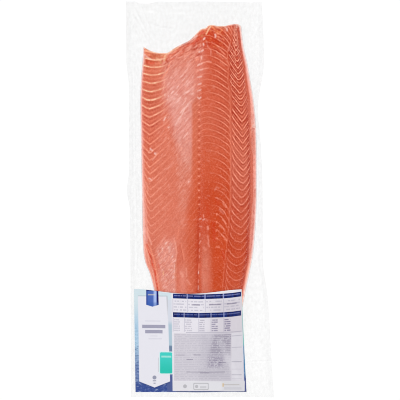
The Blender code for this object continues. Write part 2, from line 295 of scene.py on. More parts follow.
# Single strokes on the flesh: cut ridges, folds, fat and bone ends, and painted glints and painted shade where the
# drawn-down film creases.
# (ink, radius, strength, points (u, v))
INKS = {
    "pale": (253, 208, 196), "pink": (249, 172, 152), "cream": (255, 198, 158), "salmon": (248, 150, 122), "orange": (250, 146, 96),
    "dark": (180, 56, 36), "deep": (203, 64, 34), "brown": (196, 102, 60), "red": (222, 80, 56), "olive": (214, 152, 104),
}
STROKES = [
    # head end, belly corner
    ("brown", 3.2, 0.55, [(151, 57), (154.6, 55.6), (159, 56)]), ("orange", 2.2, 0.55, [(146.4, 51.4), (149.2, 54.2)]), ("olive", 1.8, 0.7, [(161.6, 55.4), (162.8, 55.2)]),
    ("red", 3.4, 0.75, [(147.6, 62.2), (152.6, 62.8)]), ("dark", 1.5, 0.6, [(146.4, 60.4), (147.0, 64.0)]), ("dark", 1.2, 0.55, [(150.0, 56.8), (150.9, 57.2)]), ("dark", 1.2, 0.5, [(153.9, 56.4), (155, 56.6)]),
    ("pale", 1.2, 0.9, [(144.9, 55.2), (147.4, 57.6), (150.9, 59.6)]), ("salmon", 1.2, 0.8, [(146.2, 50.4), (148.2, 53.4), (149.6, 56)]), ("cream", 1.7, 0.95, [(165.4, 56.4), (164.3, 60.8)]), ("cream", 1.5, 0.9, [(156.6, 58.6), (160.6, 60.8)]),
    ("salmon", 1.6, 0.6, [(156.4, 62), (158.8, 62.6)]), ("olive", 1.3, 0.7, [(160.4, 62.2), (161.4, 63.6)]), ("dark", 1.4, 0.85, [(166.8, 61.2), (168.6, 63.0)]), ("dark", 1.1, 0.6, [(164.3, 64.2), (165.3, 64.2)]), ("dark", 1.5, 0.5, [(170.2, 64.4), (171.6, 64.6)]),
    ("salmon", 1.1, 0.9, [(169.5, 66), (168.4, 69.4), (166.6, 73.1), (163.5, 77.2), (161.6, 79)]), ("salmon", 1.0, 0.7, [(171.0, 61.8), (169.8, 65), (167.2, 66.6)]), ("pink", 1.1, 0.6, [(164.9, 80.2), (164.5, 85), (163.2, 90)]),
    ("dark", 1.3, 0.45, [(163, 74.6), (161.4, 77)]), ("dark", 1.2, 0.4, [(168.6, 63.6), (166.8, 68.2)]),
    # head end, the cut slope
    ("cream", 1.4, 0.8, [(166.5, 54.4), (172, 51.6), (178, 48.0)]), ("salmon", 1.2, 0.8, [(170.4, 56.8), (174, 53.6), (180, 50)]), ("dark", 1.2, 0.75, [(172.8, 57.2), (175.4, 55.2), (178.4, 51.8)]), ("red", 1.6, 0.6, [(172, 59.4), (177, 56.4), (183, 51.6)]),
    ("pale", 1.1, 0.8, [(178, 46.9), (186, 43.2), (193, 39.4), (197, 36.8)]), ("dark", 0.9, 0.55, [(179, 48.7), (187, 44.9), (194, 41.0), (199, 37.2)]), ("salmon", 1.0, 0.7, [(181, 50.0), (189, 45.9), (196, 42.0)]), ("dark", 0.8, 0.35, [(183, 51), (190, 47.6), (197, 43.6)]),
    ("red", 2.6, 0.75, [(188, 47.2), (194, 43.4), (200, 39.6)]), ("red", 1.8, 0.8, [(200.4, 34.4), (203.6, 32.4)]), ("olive", 1.2, 0.55, [(201.4, 36.8), (202.6, 36.6)]),
    ("deep", 4.2, 0.8, [(208.6, 33.4), (209.6, 43)]), ("deep", 2.8, 0.6, [(212, 38), (216, 44)]), ("cream", 1.2, 0.95, [(206.2, 35), (208.7, 30.3), (211.2, 26.6)]), ("orange", 1.3, 0.9, [(211.8, 27.6), (214.9, 31.3), (219.4, 33.9), (222.2, 31.0)]),
    ("salmon", 1.0, 0.6, [(219.4, 33.9), (221.6, 37), (223.4, 41.2)]), ("orange", 1.6, 0.6, [(216, 28.2), (221, 29.6)]), ("dark", 1.2, 0.6, [(219.4, 31.4), (220.2, 32)]), ("dark", 1.4, 0.5, [(220.4, 37.4), (222.4, 38.4)]),
    ("pale", 1.5, 0.95, [(215.2, 35.8), (215.4, 38.0)]), ("pink", 1.1, 0.6, [(217.3, 34.5), (217.6, 35.1)]), ("pink", 0.9, 0.45, [(218.4, 38.2), (220.6, 39.6), (221.4, 41)]), ("pink", 0.9, 0.4, [(217.6, 37.4), (218.2, 40.4), (220, 42.2)]),
    ("pale", 1.5, 0.85, [(226.4, 28.6), (226.9, 31.6)]), ("salmon", 1.1, 0.7, [(224.4, 30), (225.4, 34.8), (227.8, 40)]), ("dark", 1.0, 0.6, [(223.8, 34), (226.2, 40)]), ("salmon", 1.0, 0.7, [(229, 28.9), (231.4, 33.6), (233.9, 38.6)]), ("dark", 0.9, 0.6, [(228.2, 32), (231.2, 38.4)]),
    ("salmon", 0.9, 0.6, [(230.8, 27.6), (233.2, 32.4), (236, 37)]), ("dark", 0.9, 0.6, [(230.8, 31.4), (233.4, 35.8)]), ("dark", 0.9, 0.6, [(233.6, 31), (235.4, 35)]), ("salmon", 0.9, 0.7, [(234.6, 29.4), (236, 33.6), (236.4, 37)]), ("pale", 1.2, 0.8, [(236.2, 25.6), (236.4, 28.4)]),
    ("pale", 1.4, 0.7, [(238.2, 25.8), (239.8, 27.4), (240.2, 31)]), ("dark", 1.0, 0.5, [(237.4, 29.6), (238.6, 32.4)]), ("red", 1.4, 0.5, [(226, 27.6), (230, 27.2)]), ("dark", 0.9, 0.5, [(226, 35.6), (229.4, 42.4)]),
    ("dark", 1.3, 0.75, [(235.7, 42.4), (235.9, 44.8)]), ("dark", 1.2, 0.7, [(233.4, 45.6), (235.8, 50.2), (238.6, 44)]), ("dark", 1.3, 0.55, [(232.6, 37.4), (234.6, 39.6)]), ("dark", 1.0, 0.5, [(239.6, 40.6), (238.8, 44)]),
    # middle seam towards the head
    ("pale", 1.3, 0.95, [(203.7, 40.4), (204.6, 39.2)]), ("pale", 1.1, 0.85, [(203.3, 44.9), (203.6, 46.0)]), ("pink", 1.2, 0.6, [(200.4, 45.4), (200.6, 47.0)]), ("pink", 1.2, 0.6, [(199.6, 49.4), (200.2, 49.8)]), ("pale", 1.2, 0.85, [(199.1, 52.9), (199.9, 52.7)]), ("pale", 1.2, 0.9, [(201.6, 52.2), (203.0, 51.2)]),
    ("pale", 1.2, 0.8, [(201.3, 57.6), (201.6, 59.6)]), ("pink", 0.9, 0.5, [(201.2, 59.6), (200.4, 62.6)]), ("pale", 1.1, 0.9, [(199.1, 65.3), (199.7, 65.1)]), ("pale", 1.0, 0.8, [(201.2, 64.8), (202.4, 64.0)]), ("pink", 0.9, 0.6, [(202.4, 64.0), (207.4, 62.4), (211, 63)]),
    ("pink", 1.0, 0.6, [(196.2, 72.6), (199.2, 71.0)]), ("pale", 1.0, 0.8, [(199.8, 71.0), (202.6, 70.2)]), ("pink", 0.9, 0.55, [(203, 70.0), (208, 69.4)]), ("pale", 1.0, 0.75, [(197.8, 78.1), (201.6, 77.3)]), ("pale", 1.1, 0.8, [(198.2, 85.2), (200.8, 84.4)]), ("pale", 1.0, 0.75, [(197.6, 91.6), (200.8, 90.6)]),
    ("pale", 1.0, 0.8, [(197.6, 98.0), (199.2, 99.4), (200.9, 98.0)]), ("pink", 0.9, 0.5, [(206.3, 42.7), (208, 48.2), (210.8, 50.8), (210.8, 55.8)]), ("dark", 1.3, 0.3, [(203, 47.4), (206, 50.2)]), ("dark", 1.6, 0.4, [(205, 42), (207, 45.6)]), ("salmon", 1.3, 0.8, [(198.6, 60.2), (196.4, 60.8)]),
    # bright flake edges by the septum near the head
    ("salmon", 1.1, 0.9, [(217.4, 47.6), (221, 51.6), (224.6, 55.6)]), ("salmon", 1.1, 0.9, [(216.4, 54.0), (219.6, 56.2), (222.8, 59.4)]), ("salmon", 1.0, 0.7, [(220.1, 63), (224.8, 66.8)]), ("salmon", 1.0, 0.6, [(222.8, 57.6), (227.6, 63.2), (229.6, 67.2)]), ("pink", 1.8, 0.35, [(229.6, 46.4), (228.4, 51.4)]),
    ("dark", 1.2, 0.6, [(217.2, 52.4), (219.4, 54)]), ("dark", 1.3, 0.5, [(214, 49.4), (216.4, 52.4)]),
    # the thin membrane: pale streaks and dots, some of them (v 120 to 150) painted glints of the film
    ("pale", 0.9, 0.55, [(176.6, 123.4), (181.0, 116.8)]), ("pale", 1.0, 0.8, [(181.0, 116.8), (184.6, 109.6)]), ("pale", 1.0, 0.85, [(180.3, 113.2), (186, 107.2), (188.6, 104.2)]), ("pale", 0.9, 0.6, [(187.6, 105), (191.4, 101.0)]), ("pale", 1.1, 0.9, [(171.6, 93.8), (173.6, 91.6)]), ("pale", 1.0, 0.85, [(176.8, 89), (178.6, 86.4)]),
    ("pale", 1.3, 0.85, [(186.6, 93.4), (188.6, 91.6)]), ("pale", 1.0, 0.6, [(184.2, 94.4), (186, 92.6)]), ("pale", 1.2, 0.85, [(191.2, 94.8), (193, 94.0)]), ("pale", 1.0, 0.8, [(164.8, 95.6), (165.2, 94.4)]), ("pale", 0.9, 0.8, [(168.3, 96.6), (168.9, 96.2)]), ("pale", 0.9, 0.75, [(167.1, 100.4), (167.5, 99.8)]),
    ("pale", 0.9, 0.7, [(173.4, 99.4), (174.2, 98.6)]), ("pale", 0.9, 0.65, [(176.6, 95.4), (177.6, 95.0)]), ("pale", 0.9, 0.75, [(176.9, 103), (178, 101.6)]), ("pale", 0.9, 0.6, [(183.0, 105.2), (185.4, 101.4)]), ("pink", 0.9, 0.6, [(190.4, 103.4), (191.6, 101.8)]), ("pink", 1.0, 0.7, [(179.6, 67.6), (180.6, 67.2)]),
    ("pink", 0.9, 0.7, [(186.6, 66.4), (188.6, 65.0)]), ("pink", 0.9, 0.6, [(184.4, 73.6), (188.4, 71.6)]), ("pink", 0.9, 0.6, [(182.6, 82.4), (186, 79.2)]), ("pink", 1.0, 0.55, [(182.0, 85.4), (183.4, 84.4)]), ("pink", 1.0, 0.55, [(185.4, 87.2), (187, 85.6)]), ("pink", 0.9, 0.6, [(178.6, 86), (180.2, 85.0)]),
    ("pink", 0.9, 0.55, [(176.4, 81.8), (177.8, 80.2)]), ("pink", 1.0, 0.6, [(192.6, 88.4), (195.6, 85.0)]), ("pale", 1.0, 0.8, [(197.8, 66.2), (200, 65.2)]), ("pink", 0.9, 0.6, [(197, 71), (199.6, 70.2)]), ("pink", 0.9, 0.6, [(163.4, 121), (166, 116.6)]), ("pale", 1.1, 0.85, [(164.2, 120.4), (165.6, 117.8)]),
    ("pale", 1.1, 0.85, [(168.6, 127.9), (169.1, 127.4)]), ("pink", 0.9, 0.6, [(168.5, 138.4), (168.7, 139.6)]), ("pale", 1.0, 0.5, [(175.2, 125.6), (178.2, 121.6)]), ("pale", 1.0, 0.6, [(183.6, 137.6), (186, 135.4), (188, 133.0)]), ("pink", 0.9, 0.5, [(177, 148), (176.6, 145.6), (178.2, 143.6), (179.6, 145), (178.6, 148.4)]),
    ("pink", 1.0, 0.7, [(181.1, 150.4), (181.7, 148.2)]), ("pink", 0.9, 0.5, [(176.8, 155.8), (177.2, 154.8)]), ("pink", 1.0, 0.6, [(181.0, 163.6), (181.6, 161.0)]), ("pale", 1.0, 0.8, [(188.4, 182.2), (189, 181.4)]), ("pink", 0.8, 0.5, [(183.4, 186.8), (188.4, 181.4), (192, 176.1)]), ("pink", 0.8, 0.5, [(178.4, 190), (182.2, 184.0)]),
    ("pink", 0.8, 0.4, [(186.4, 142.6), (187.6, 138.2)]), ("pink", 0.8, 0.4, [(175.4, 134.4), (176, 130.4)]),
    # creases of the film on the flap: painted glints, with a little painted shade
    ("pink", 1.2, 0.6, [(148.6, 152.6), (151.0, 149.6)]), ("pale", 1.2, 0.95, [(150.6, 149.0), (152.6, 150.8)]), ("pale", 1.4, 1.0, [(155.0, 153.4), (155.6, 154.2)]), ("pink", 1.0, 0.7, [(157.2, 152.6), (156.4, 155.4), (154.2, 158.4), (152.6, 160.2)]), ("dark", 1.2, 0.3, [(150.8, 151.8), (152.2, 153)]),
    ("pale", 1.0, 0.8, [(149.2, 178.2), (150.4, 179.0), (151.8, 180.6)]), ("pink", 0.9, 0.5, [(151.8, 180.6), (153, 177.4)]), ("pink", 1.0, 0.5, [(147.2, 186.8), (148.2, 190.4)]), ("pink", 1.0, 0.45, [(145.8, 182.6), (147.2, 183.6)]),
    # fold along the belly towards the tail
    ("pink", 1.2, 0.7, [(147.2, 230), (149.4, 238.0), (151.6, 244.2)]), ("pink", 1.1, 0.75, [(143.6, 236), (145.1, 246.2), (147.6, 253.3), (149.6, 263.6), (153, 271.5), (155, 283.3), (156.6, 292)]),
    ("red", 1.2, 0.85, [(146.6, 244.4), (148.7, 250.1), (151.4, 258.8), (152.9, 265.2), (155, 270.7), (155.9, 277.4), (157.6, 287.3), (159, 294)]), ("dark", 0.9, 0.4, [(150.2, 255), (152.6, 262)]), ("dark", 0.9, 0.45, [(150.6, 265), (153.0, 269)]),
    ("salmon", 1.1, 0.85, [(150.6, 248.6), (152.6, 254.6), (154.3, 259.6), (156.6, 271.5), (158.2, 281.4), (159.4, 290)]), ("salmon", 0.9, 0.5, [(153.8, 264.4), (154.2, 268.4)]), ("red", 1.4, 0.45, [(158.4, 264), (159.4, 268)]),
    # the scaly patch
    ("pink", 1.0, 0.85, [(159.4, 262), (164.5, 255.3), (167.9, 250.3)]), ("pink", 1.0, 0.8, [(163.3, 265.2), (166.9, 260.8), (171.6, 253.7)]), ("pink", 1.0, 0.75, [(167.7, 269.5), (171, 264.4), (173.6, 258.8)]), ("pink", 1.1, 0.75, [(157, 257.4), (162.1, 250.1), (167.9, 241.4)]), ("pink", 0.9, 0.5, [(155.8, 251.9), (159.2, 246.4), (162.4, 241.4)]),
    ("pink", 0.9, 0.4, [(161.6, 242.4), (166.6, 235.6)]), ("pale", 1.2, 0.95, [(165.7, 243.8), (166.6, 242.4)]), ("pale", 1.2, 0.95, [(162.4, 249), (162.8, 248.1)]), ("pale", 2.4, 0.7, [(169.0, 247.2), (169.4, 248.6)]), ("pale", 1.1, 0.85, [(172.2, 256.7), (172.7, 256.1)]), ("pale", 1.3, 0.95, [(174.9, 260.8), (175.5, 259.9)]),
    ("pale", 1.2, 0.6, [(158.8, 255), (159.4, 253.4)]), ("pale", 1.7, 0.85, [(170.4, 270.2), (171.4, 269.4)]), ("pale", 1.5, 0.85, [(173.0, 277.8), (173.8, 276)]), ("pale", 1.1, 0.7, [(174.2, 270), (174.2, 272.4)]), ("cream", 1.0, 0.7, [(163.4, 271.4), (163.5, 274.8)]), ("pink", 1.3, 0.6, [(171, 279.4), (171.4, 282.4)]),
    ("pink", 1.0, 0.7, [(174.0, 238), (175.8, 245), (177.0, 252.4), (175.3, 260.6)]), ("pale", 0.9, 0.6, [(174.5, 263.6), (174.4, 268)]), ("pink", 0.9, 0.6, [(174.8, 272), (174.7, 278), (173.4, 284)]), ("brown", 1.0, 0.4, [(175.9, 262.6), (175.7, 270), (176, 280)]), ("pink", 0.9, 0.5, [(164, 279), (165.4, 276)]), ("pink", 0.9, 0.45, [(167.6, 283), (169.4, 279.4)]),
    ("brown", 1.0, 0.35, [(161.6, 262.6), (164.4, 261)]), ("brown", 1.0, 0.35, [(167.6, 254.4), (169, 252.4)]), ("brown", 1.1, 0.35, [(160, 251), (161, 249)]), ("brown", 1.4, 0.3, [(166, 268.4), (163.6, 269)]), ("brown", 1.2, 0.3, [(167.4, 277.6), (168.4, 281.4)]),
    # the first two salmon strokes here are painted glints of the film
    ("salmon", 1.0, 0.4, [(179.3, 227), (178.2, 232), (177.4, 238.5)]), ("salmon", 1.0, 0.45, [(181.0, 243.4), (182.0, 249), (183.5, 254), (184.1, 259)]), ("dark", 1.0, 0.3, [(180.0, 244), (181.9, 254), (183, 262)]), ("pink", 2.2, 0.55, [(181, 272), (182.6, 276)]), ("pink", 1.6, 0.4, [(187, 280), (190, 284)]), ("pink", 1.2, 0.35, [(186.4, 268), (186.6, 276)]),
    # middle seam towards the tail
    # the first four strokes here, across v 219, are a painted glint of the film
    ("pink", 0.9, 0.18, [(193.4, 219.6), (198.0, 219.2)]), ("pale", 1.1, 0.5, [(199.3, 219.2), (200.8, 218.6)]), ("pale", 1.1, 0.45, [(203.0, 219.8), (204.6, 219.0)]), ("pink", 1.0, 0.35, [(206.2, 219.8), (207.6, 220.6)]), ("pink", 0.9, 0.6, [(203.4, 214.8), (203.6, 217)]),
    # the third stroke here, at u 208 from v 235 down, is a painted glint of the film
    ("pink", 1.0, 0.55, [(199.4, 226), (201.6, 226.6)]), ("pink", 1.5, 0.6, [(207.6, 226.6), (208, 229)]), ("pink", 1.1, 0.45, [(207.6, 235.5), (208.5, 240), (208.3, 243.6), (209.3, 246.4)]), ("pink", 1.0, 0.6, [(199.7, 233.4), (199.9, 236)]), ("pink", 1.0, 0.6, [(199.2, 243.4), (200.6, 240.8)]), ("pink", 0.9, 0.5, [(199.5, 249), (199.5, 251.2)]), ("pink", 0.9, 0.45, [(199.4, 255.2), (199.3, 257.4)]),
    ("salmon", 1.0, 0.8, [(198.9, 263.8), (198.5, 272)]), ("pale", 1.0, 0.95, [(198.5, 271.6), (198.5, 273.2)]), ("pink", 0.9, 0.7, [(198.3, 279.6), (198.3, 282)]), ("pale", 0.9, 0.6, [(198.3, 285.6), (198.3, 289)]), ("pink", 0.9, 0.7, [(198.2, 294), (198.2, 297)]), ("pink", 2.0, 0.3, [(203.8, 247.4), (205.6, 249.6)]),
    ("salmon", 1.1, 0.85, [(216.6, 213.7), (216.8, 214.5)]), ("salmon", 1.1, 0.9, [(216.5, 221.7), (216.7, 222.5)]), ("salmon", 1.1, 0.7, [(215.9, 230.8), (216.8, 229.6)]), ("salmon", 1.1, 0.8, [(216.3, 238.3), (217.1, 238.1)]), ("salmon", 1.0, 0.6, [(216.2, 246.6), (219.4, 246.9)]), ("pink", 1.8, 0.35, [(219.6, 209.4), (223.2, 213.2)]),
    # the last three pink strokes here, near u 216 and v 192, are painted glints of the film
    ("deep", 3.0, 0.75, [(213.4, 223), (214.4, 240)]), ("deep", 2.6, 0.7, [(222.6, 250.6), (224.0, 258.4)]), ("deep", 2.4, 0.5, [(207.4, 206), (208.4, 214)]), ("deep", 2.2, 0.4, [(216, 200), (218, 206)]), ("pink", 1.1, 0.3, [(214.8, 190.2), (216.0, 187.8)]), ("pink", 1.1, 0.3, [(216.8, 187.0), (218.6, 188.6)]), ("pink", 1.0, 0.35, [(215.8, 197.6), (218.6, 199.2)]),
    ("salmon", 1.0, 0.8, [(222.5, 202.9), (225.9, 207.5)]), ("salmon", 1.0, 0.8, [(222.5, 219.5), (225.9, 223.4)]), ("salmon", 1.0, 0.7, [(219, 225.8), (222.4, 227.6), (224.9, 230.6)]), ("salmon", 1.0, 0.8, [(221.3, 234.5), (224.4, 237), (226.6, 240.4)]), ("pink", 0.9, 0.2, [(184.6, 224.6), (187.4, 224.2)]), ("pink", 0.9, 0.15, [(186.2, 219.8), (189, 219.2)]),
    ("dark", 0.9, 0.5, [(199.4, 200), (199.6, 203)]), ("dark", 0.9, 0.55, [(199.2, 206), (199.5, 209)]), ("dark", 0.9, 0.5, [(199.5, 212.6), (199.7, 216)]), ("dark", 0.9, 0.5, [(199.4, 222), (199.4, 225)]), ("dark", 0.9, 0.55, [(199.0, 229), (199.2, 232)]), ("dark", 0.9, 0.45, [(198.4, 237.4), (198.6, 240)]), ("dark", 0.9, 0.45, [(198.8, 245), (198.6, 248)]),
    # back rim
    ("pale", 1.9, 1.0, [(252.2, 125.4), (254.9, 127.2)]), ("pale", 1.0, 0.7, [(253.4, 121.8), (254.6, 118.4)]), ("pale", 1.0, 0.6, [(254.8, 131.4), (255.2, 133.6)]), ("dark", 0.9, 0.5, [(252.4, 128.4), (254.2, 129.4)]), ("dark", 1.1, 0.8, [(247.6, 129.4), (246.6, 132.4)]), ("dark", 1.0, 0.65, [(249.6, 127.6), (249.2, 129.4)]), ("salmon", 0.9, 0.8, [(252.0, 124.4), (249.8, 129.6)]), ("dark", 1.0, 0.5, [(251.8, 136), (250.8, 139)]), ("salmon", 0.9, 0.7, [(250.4, 132), (250.6, 138)]),
    ("pale", 1.1, 0.7, [(255.0, 187.4), (255.6, 188.2)]), ("dark", 1.0, 0.5, [(254.8, 190), (254.6, 193)]), ("dark", 0.9, 0.4, [(253.4, 211), (254, 214)]),
]
PALE_INKS = ("pale", "pink", "cream", "salmon")


def scattered(count, seed, box, length, radius, strength, slope, ink):
    """More strokes of one kind, scattered over a box."""
    rng = np.random.default_rng(seed)
    out = []
    for _ in range(count):
        u, v = rng.uniform(box[0], box[2]), rng.uniform(box[1], box[3])
        n = rng.uniform(*length)
        k = slope + rng.uniform(-0.25, 0.25)
        du = n / math.hypot(1, k)
        out.append((ink, rng.uniform(*radius), rng.uniform(*strength), [(u, v), (u + du, v - k * du)]))
    return out


STROKES += scattered(34, 4, (166, 62, 190, 122), (1.2, 4.0), (0.8, 1.05), (0.2, 0.55), 1.1, "pale")
STROKES += scattered(26, 5, (168, 120, 190, 190), (1.0, 4.5), (0.8, 1.0), (0.15, 0.4), 1.5, "pink")
# painted glints of the film, scattered over the flap
STROKES += scattered(26, 6, (146, 120, 172, 232), (1.0, 4.0), (0.8, 1.0), (0.15, 0.4), 1.1, "pink")
STROKES += scattered(20, 7, (156, 240, 172, 288), (1.5, 4.0), (0.8, 1.1), (0.2, 0.5), 1.3, "pink")
STROKES += scattered(22, 8, (201, 60, 214, 200), (1.0, 3.0), (0.8, 1.0), (0.12, 0.32), -0.2, "pink")
STROKES += scattered(26, 9, (216, 120, 228, 262), (0.8, 2.4), (0.8, 1.0), (0.15, 0.45), -1.0, "salmon")
STROKES += scattered(30, 10, (216, 60, 228, 262), (0.8, 2.4), (0.8, 1.1), (0.15, 0.45), -1.0, "dark")
STROKES += scattered(34, 12, (170, 42, 200, 60), (2.0, 8.0), (0.7, 1.0), (0.45, 0.9), 0.58, "pink")
STROKES += scattered(30, 13, (170, 42, 200, 60), (2.0, 7.0), (0.7, 1.0), (0.35, 0.75), 0.58, "dark")
STROKES += scattered(26, 14, (204, 30, 226, 48), (0.8, 2.6), (0.8, 1.1), (0.25, 0.6), -0.6, "dark")
STROKES += scattered(22, 15, (204, 28, 226, 48), (0.8, 2.4), (0.8, 1.0), (0.25, 0.55), -0.6, "orange")
STROKES += scattered(24, 11, (178, 44, 196, 62), (1.0, 3.5), (0.7, 0.9), (0.2, 0.5), 0.6, "pink")


def stroke_layers(u, v):
    """For each stroke near the points: (ink, mask)."""
    out = []
    for ink, r, s, pts in STROKES:
        us, vs = [p[0] for p in pts], [p[1] for p in pts]
        near = (u > min(us) - r) & (u < max(us) + r) & (v > min(vs) - r) & (v < max(vs) + r)
        if not near.any():
            continue
        idx = np.nonzero(near)[0]
        mask = np.zeros(len(idx))
        for p, q in zip(pts[:-1], pts[1:]):
            mask = np.maximum(mask, capsule(u[idx], v[idx], p[0], p[1], q[0], q[1], r))
        out.append((ink, idx, s * mask))
    return out


def flesh_paint(x, y):
    """Every field that the flesh's material reads, at points in mm."""
    u, v = U0 + x / 1.75, V0 - y / 1.75
    a, from_belly, from_back, from_head, from_tail = edges(x, y)
    lb, rb, hb = from_belly / 1.75, from_back / 1.75, from_head / 1.75
    xs, seam = SEPTUM(v), SEAM(v)
    wob = 1.6 * fractal(u / 9, v / 9, 3)

    # the back: warm orange red, deepest from the middle to the tail
    col = ramp(v, [(24, (212, 92, 62)), (50, (208, 92, 66)), (80, (210, 97, 70)), (120, (212, 103, 77)), (160, (209, 92, 62)), (200, (205, 79, 44)), (245, (203, 75, 38)), (275, (202, 76, 41)), (300, (204, 84, 52))])
    # the strip along the back beyond the septum
    strip = ramp(v, [(24, (196, 78, 52)), (50, (192, 73, 47)), (80, (208, 96, 70)), (120, (216, 110, 85)), (165, (217, 118, 95)), (205, (208, 97, 72)), (245, (200, 77, 45)), (300, (202, 82, 52))])
    col = over(col, strip, step(u, xs - 1.2, xs + 1.0))
    # between the middle seam and the belly side
    mid = ramp(v, [(30, (216, 92, 64)), (50, (216, 116, 92)), (80, (216, 122, 100)), (120, (216, 116, 90)), (160, (214, 107, 78)), (200, (210, 91, 58)), (245, (208, 97, 68)), (300, (212, 108, 82))])
    col = over(col, mid, 1 - step(u, seam - 2.5, seam + 3.5))
    # the belly flap: lighter and pinker
    flap_to = np.interp(v, [40, 60, 120, 160, 200, 240, 290], [163, 165, 168, 175, 186, 184, 186])
    flap = ramp(v, [(45, (234, 146, 114)), (62, (232, 136, 106)), (80, (228, 130, 106)), (120, (224, 125, 102)), (160, (223, 124, 100)), (200, (221, 122, 98)), (240, (220, 124, 102)), (290, (224, 134, 112))])
    col = over(col, flap, 1 - step(u + wob, flap_to - 7, flap_to + 7))
    col = over(col, flesh(221, 112, 84), 0.42 * step(u, 163, 151) * window(v, 60, 70, 150, 200))
    # the thin pale membrane left of the middle, with a sharp edge towards the seam
    right_soft = np.interp(v, [60, 95, 105, 175, 190, 230], [9, 7, 1.6, 1.8, 5, 8])
    right_at = np.interp(v, [50, 95, 105, 185, 215], [196, 195.5, 192, 192, 187])
    left_at = np.interp(v, [60, 100, 125, 150, 190], [163, 164, 171, 176, 178])
    membrane = step(u + wob, left_at - 5, left_at + 7) * (1 - step(u + 0.35 * wob, right_at - right_soft, right_at + right_soft))
    membrane = membrane * np.interp(v, [48, 62, 85, 150, 180, 215, 240], [0, 0.65, 1, 0.9, 0.52, 0.32, 0]) * (0.9 + 0.22 * fractal(u / 5, v / 8, 8))
    col = over(col, ramp(v, [(50, (226, 144, 125)), (80, (230, 156, 143)), (130, (231, 162, 151)), (170, (226, 152, 134)), (215, (224, 146, 126))]), np.clip(membrane, 0, 1))
    # paler strips: beside the seam towards the head, and right of it towards the tail
    col = over(col, flesh(222, 130, 112), 0.75 * window(v, 42, 50, 72, 90) * bell(u, 201.0, 5.0))
    col = over(col, flesh(221, 132, 110), 0.85 * window(v, 236, 262, 300, 330) * window(u + 0.5 * wob, 199.4, 203.4, 206.4, 214.6) * (0.85 + 0.3 * fractal(u / 2.4, v / 9, 17)))
    col = over(col, flesh(212, 110, 88), 0.6 * window(v, 208, 224, 240, 262) * window(u + 0.5 * wob, 199.8, 203.2, 206.6, 211.5))
    col = over(col, flesh(196, 70, 40), 0.6 * window(v, 205, 230, 300, 330) * bell(u, 196.4, 2.4))
    col = over(col, flesh(202, 72, 40), 0.6 * window(v, 175, 195, 225, 245) * bell(u, 206.0, 8.0))
    # the silvery, scaly patch on the flap towards the tail, and the bands beside it
    patch_l = np.interp(v, [236, 250, 262, 290], [164, 156, 158.5, 162.5]) + 1.2 * fractal(v / 5, u * 0, 16)
    patch = step(u, patch_l - 2.5, patch_l + 3.5) * (1 - step(u + 0.6 * wob, 173.6, 177.6)) * window(v, 234, 251, 300, 330)
    col = over(col, flesh(236, 165, 152), 0.92 * patch * (0.8 + 0.45 * fractal(u / 2.2, v / 3.4, 15)))
    col = over(col, flesh(208, 100, 76), 0.6 * window(v, 240, 252, 300, 330) * window(u, 176.0, 177.6, 180.4, 184.0))
    col = over(col, flesh(226, 140, 122), 0.7 * window(v, 262, 274, 300, 330) * bell(u, 182.6, 3.6))
    col = over(col, flesh(212, 116, 94), 0.6 * window(v, 238, 250, 300, 330) * window(u, 150.0, 152.0, 156.5, 159.0))
    # broad unevenness of the fat
    mott = fractal(u / 11, v / 17, 21, 4)
    col = col * (1 + 0.05 * mott)[:, None]

    # head end: the cut, its pale rim and the deep red flesh behind it
    deep = window(u, 202.5, 205, 222, 228) * step(v, 64, 36)
    col = over(col, flesh(205, 70, 42), 0.85 * deep)
    band = window(u, 160, 168, 200, 205) * window(hb, 1.5, 3.0, 7.0, 11)
    ridge = fractal((u * 0.86 - v * 0.5) / 9, (u * 0.5 + v * 0.86) / 1.5, 32, 2)
    col = over(col, flesh(219, 92, 64), 0.7 * band * (0.85 + 0.35 * fractal(u / 3, v / 3, 31)))
    slope = window(u, 168, 176, 198, 206) * window(hb, 3.5, 5.0, 11.0, 17.0)
    col = over(col, flesh(200, 84, 58), 0.75 * slope * step(ridge, -0.02, -0.30))
    col = over(col, flesh(246, 160, 138), 0.75 * slope * step(ridge, 0.04, 0.32))
    rip = 0.9 + 0.5 * fractal(u / 3.2, v / 3.2, 37)
    col = over(col, flesh(206, 104, 78), 0.65 * window(u, 172, 182, 222, 230) * window(hb, 2.3, 3.1, 4.0, 4.9) * rip)
    col = over(col, flesh(247, 150, 124), 0.75 * window(u, 172, 180, 204, 212) * bell(hb, 5.2, 0.8) * rip)
    col = over(col, flesh(244, 174, 152), 0.90 * window(u, 162, 168, 198, 204) * step(hb, 3.0, 2.0))
    col = over(col, flesh(253, 210, 190), 0.95 * window(u, 160, 168, 198, 206) * step(hb, 2.1, 1.2))
    col = over(col, flesh(255, 240, 230), 0.95 * window(u, 160, 168, 224, 230) * step(hb, 1.1, 0.3))
    col = over(col, flesh(232, 140, 96), 0.75 * window(u, 196, 202, 226, 230) * step(hb, 4.4, 2.4) * (0.8 + 0.5 * fractal(u / 2, v / 2, 39)))
    col = over(col, flesh(255, 206, 176), 0.9 * window(u, 197, 203, 226, 230) * step(hb, 2.4, 1.3) * np.minimum(rip, 1.05))
    col = over(col, flesh(255, 232, 216), 0.9 * window(u, 197, 203, 226, 230) * step(hb, 1.0, 0.2))
    col = over(col, flesh(232, 138, 100), 0.75 * window(u, 143, 145, 164, 168) * step(hb, 6.5, 3.5))
    col = over(col, flesh(253, 210, 188), 0.9 * window(u, 142, 145, 164, 170) * step(hb, 1.7, 0.6))
    col = over(col, flesh(251, 198, 180), 0.85 * window(u, 226, 229, 242, 246) * step(hb, 2.3, 0.9))
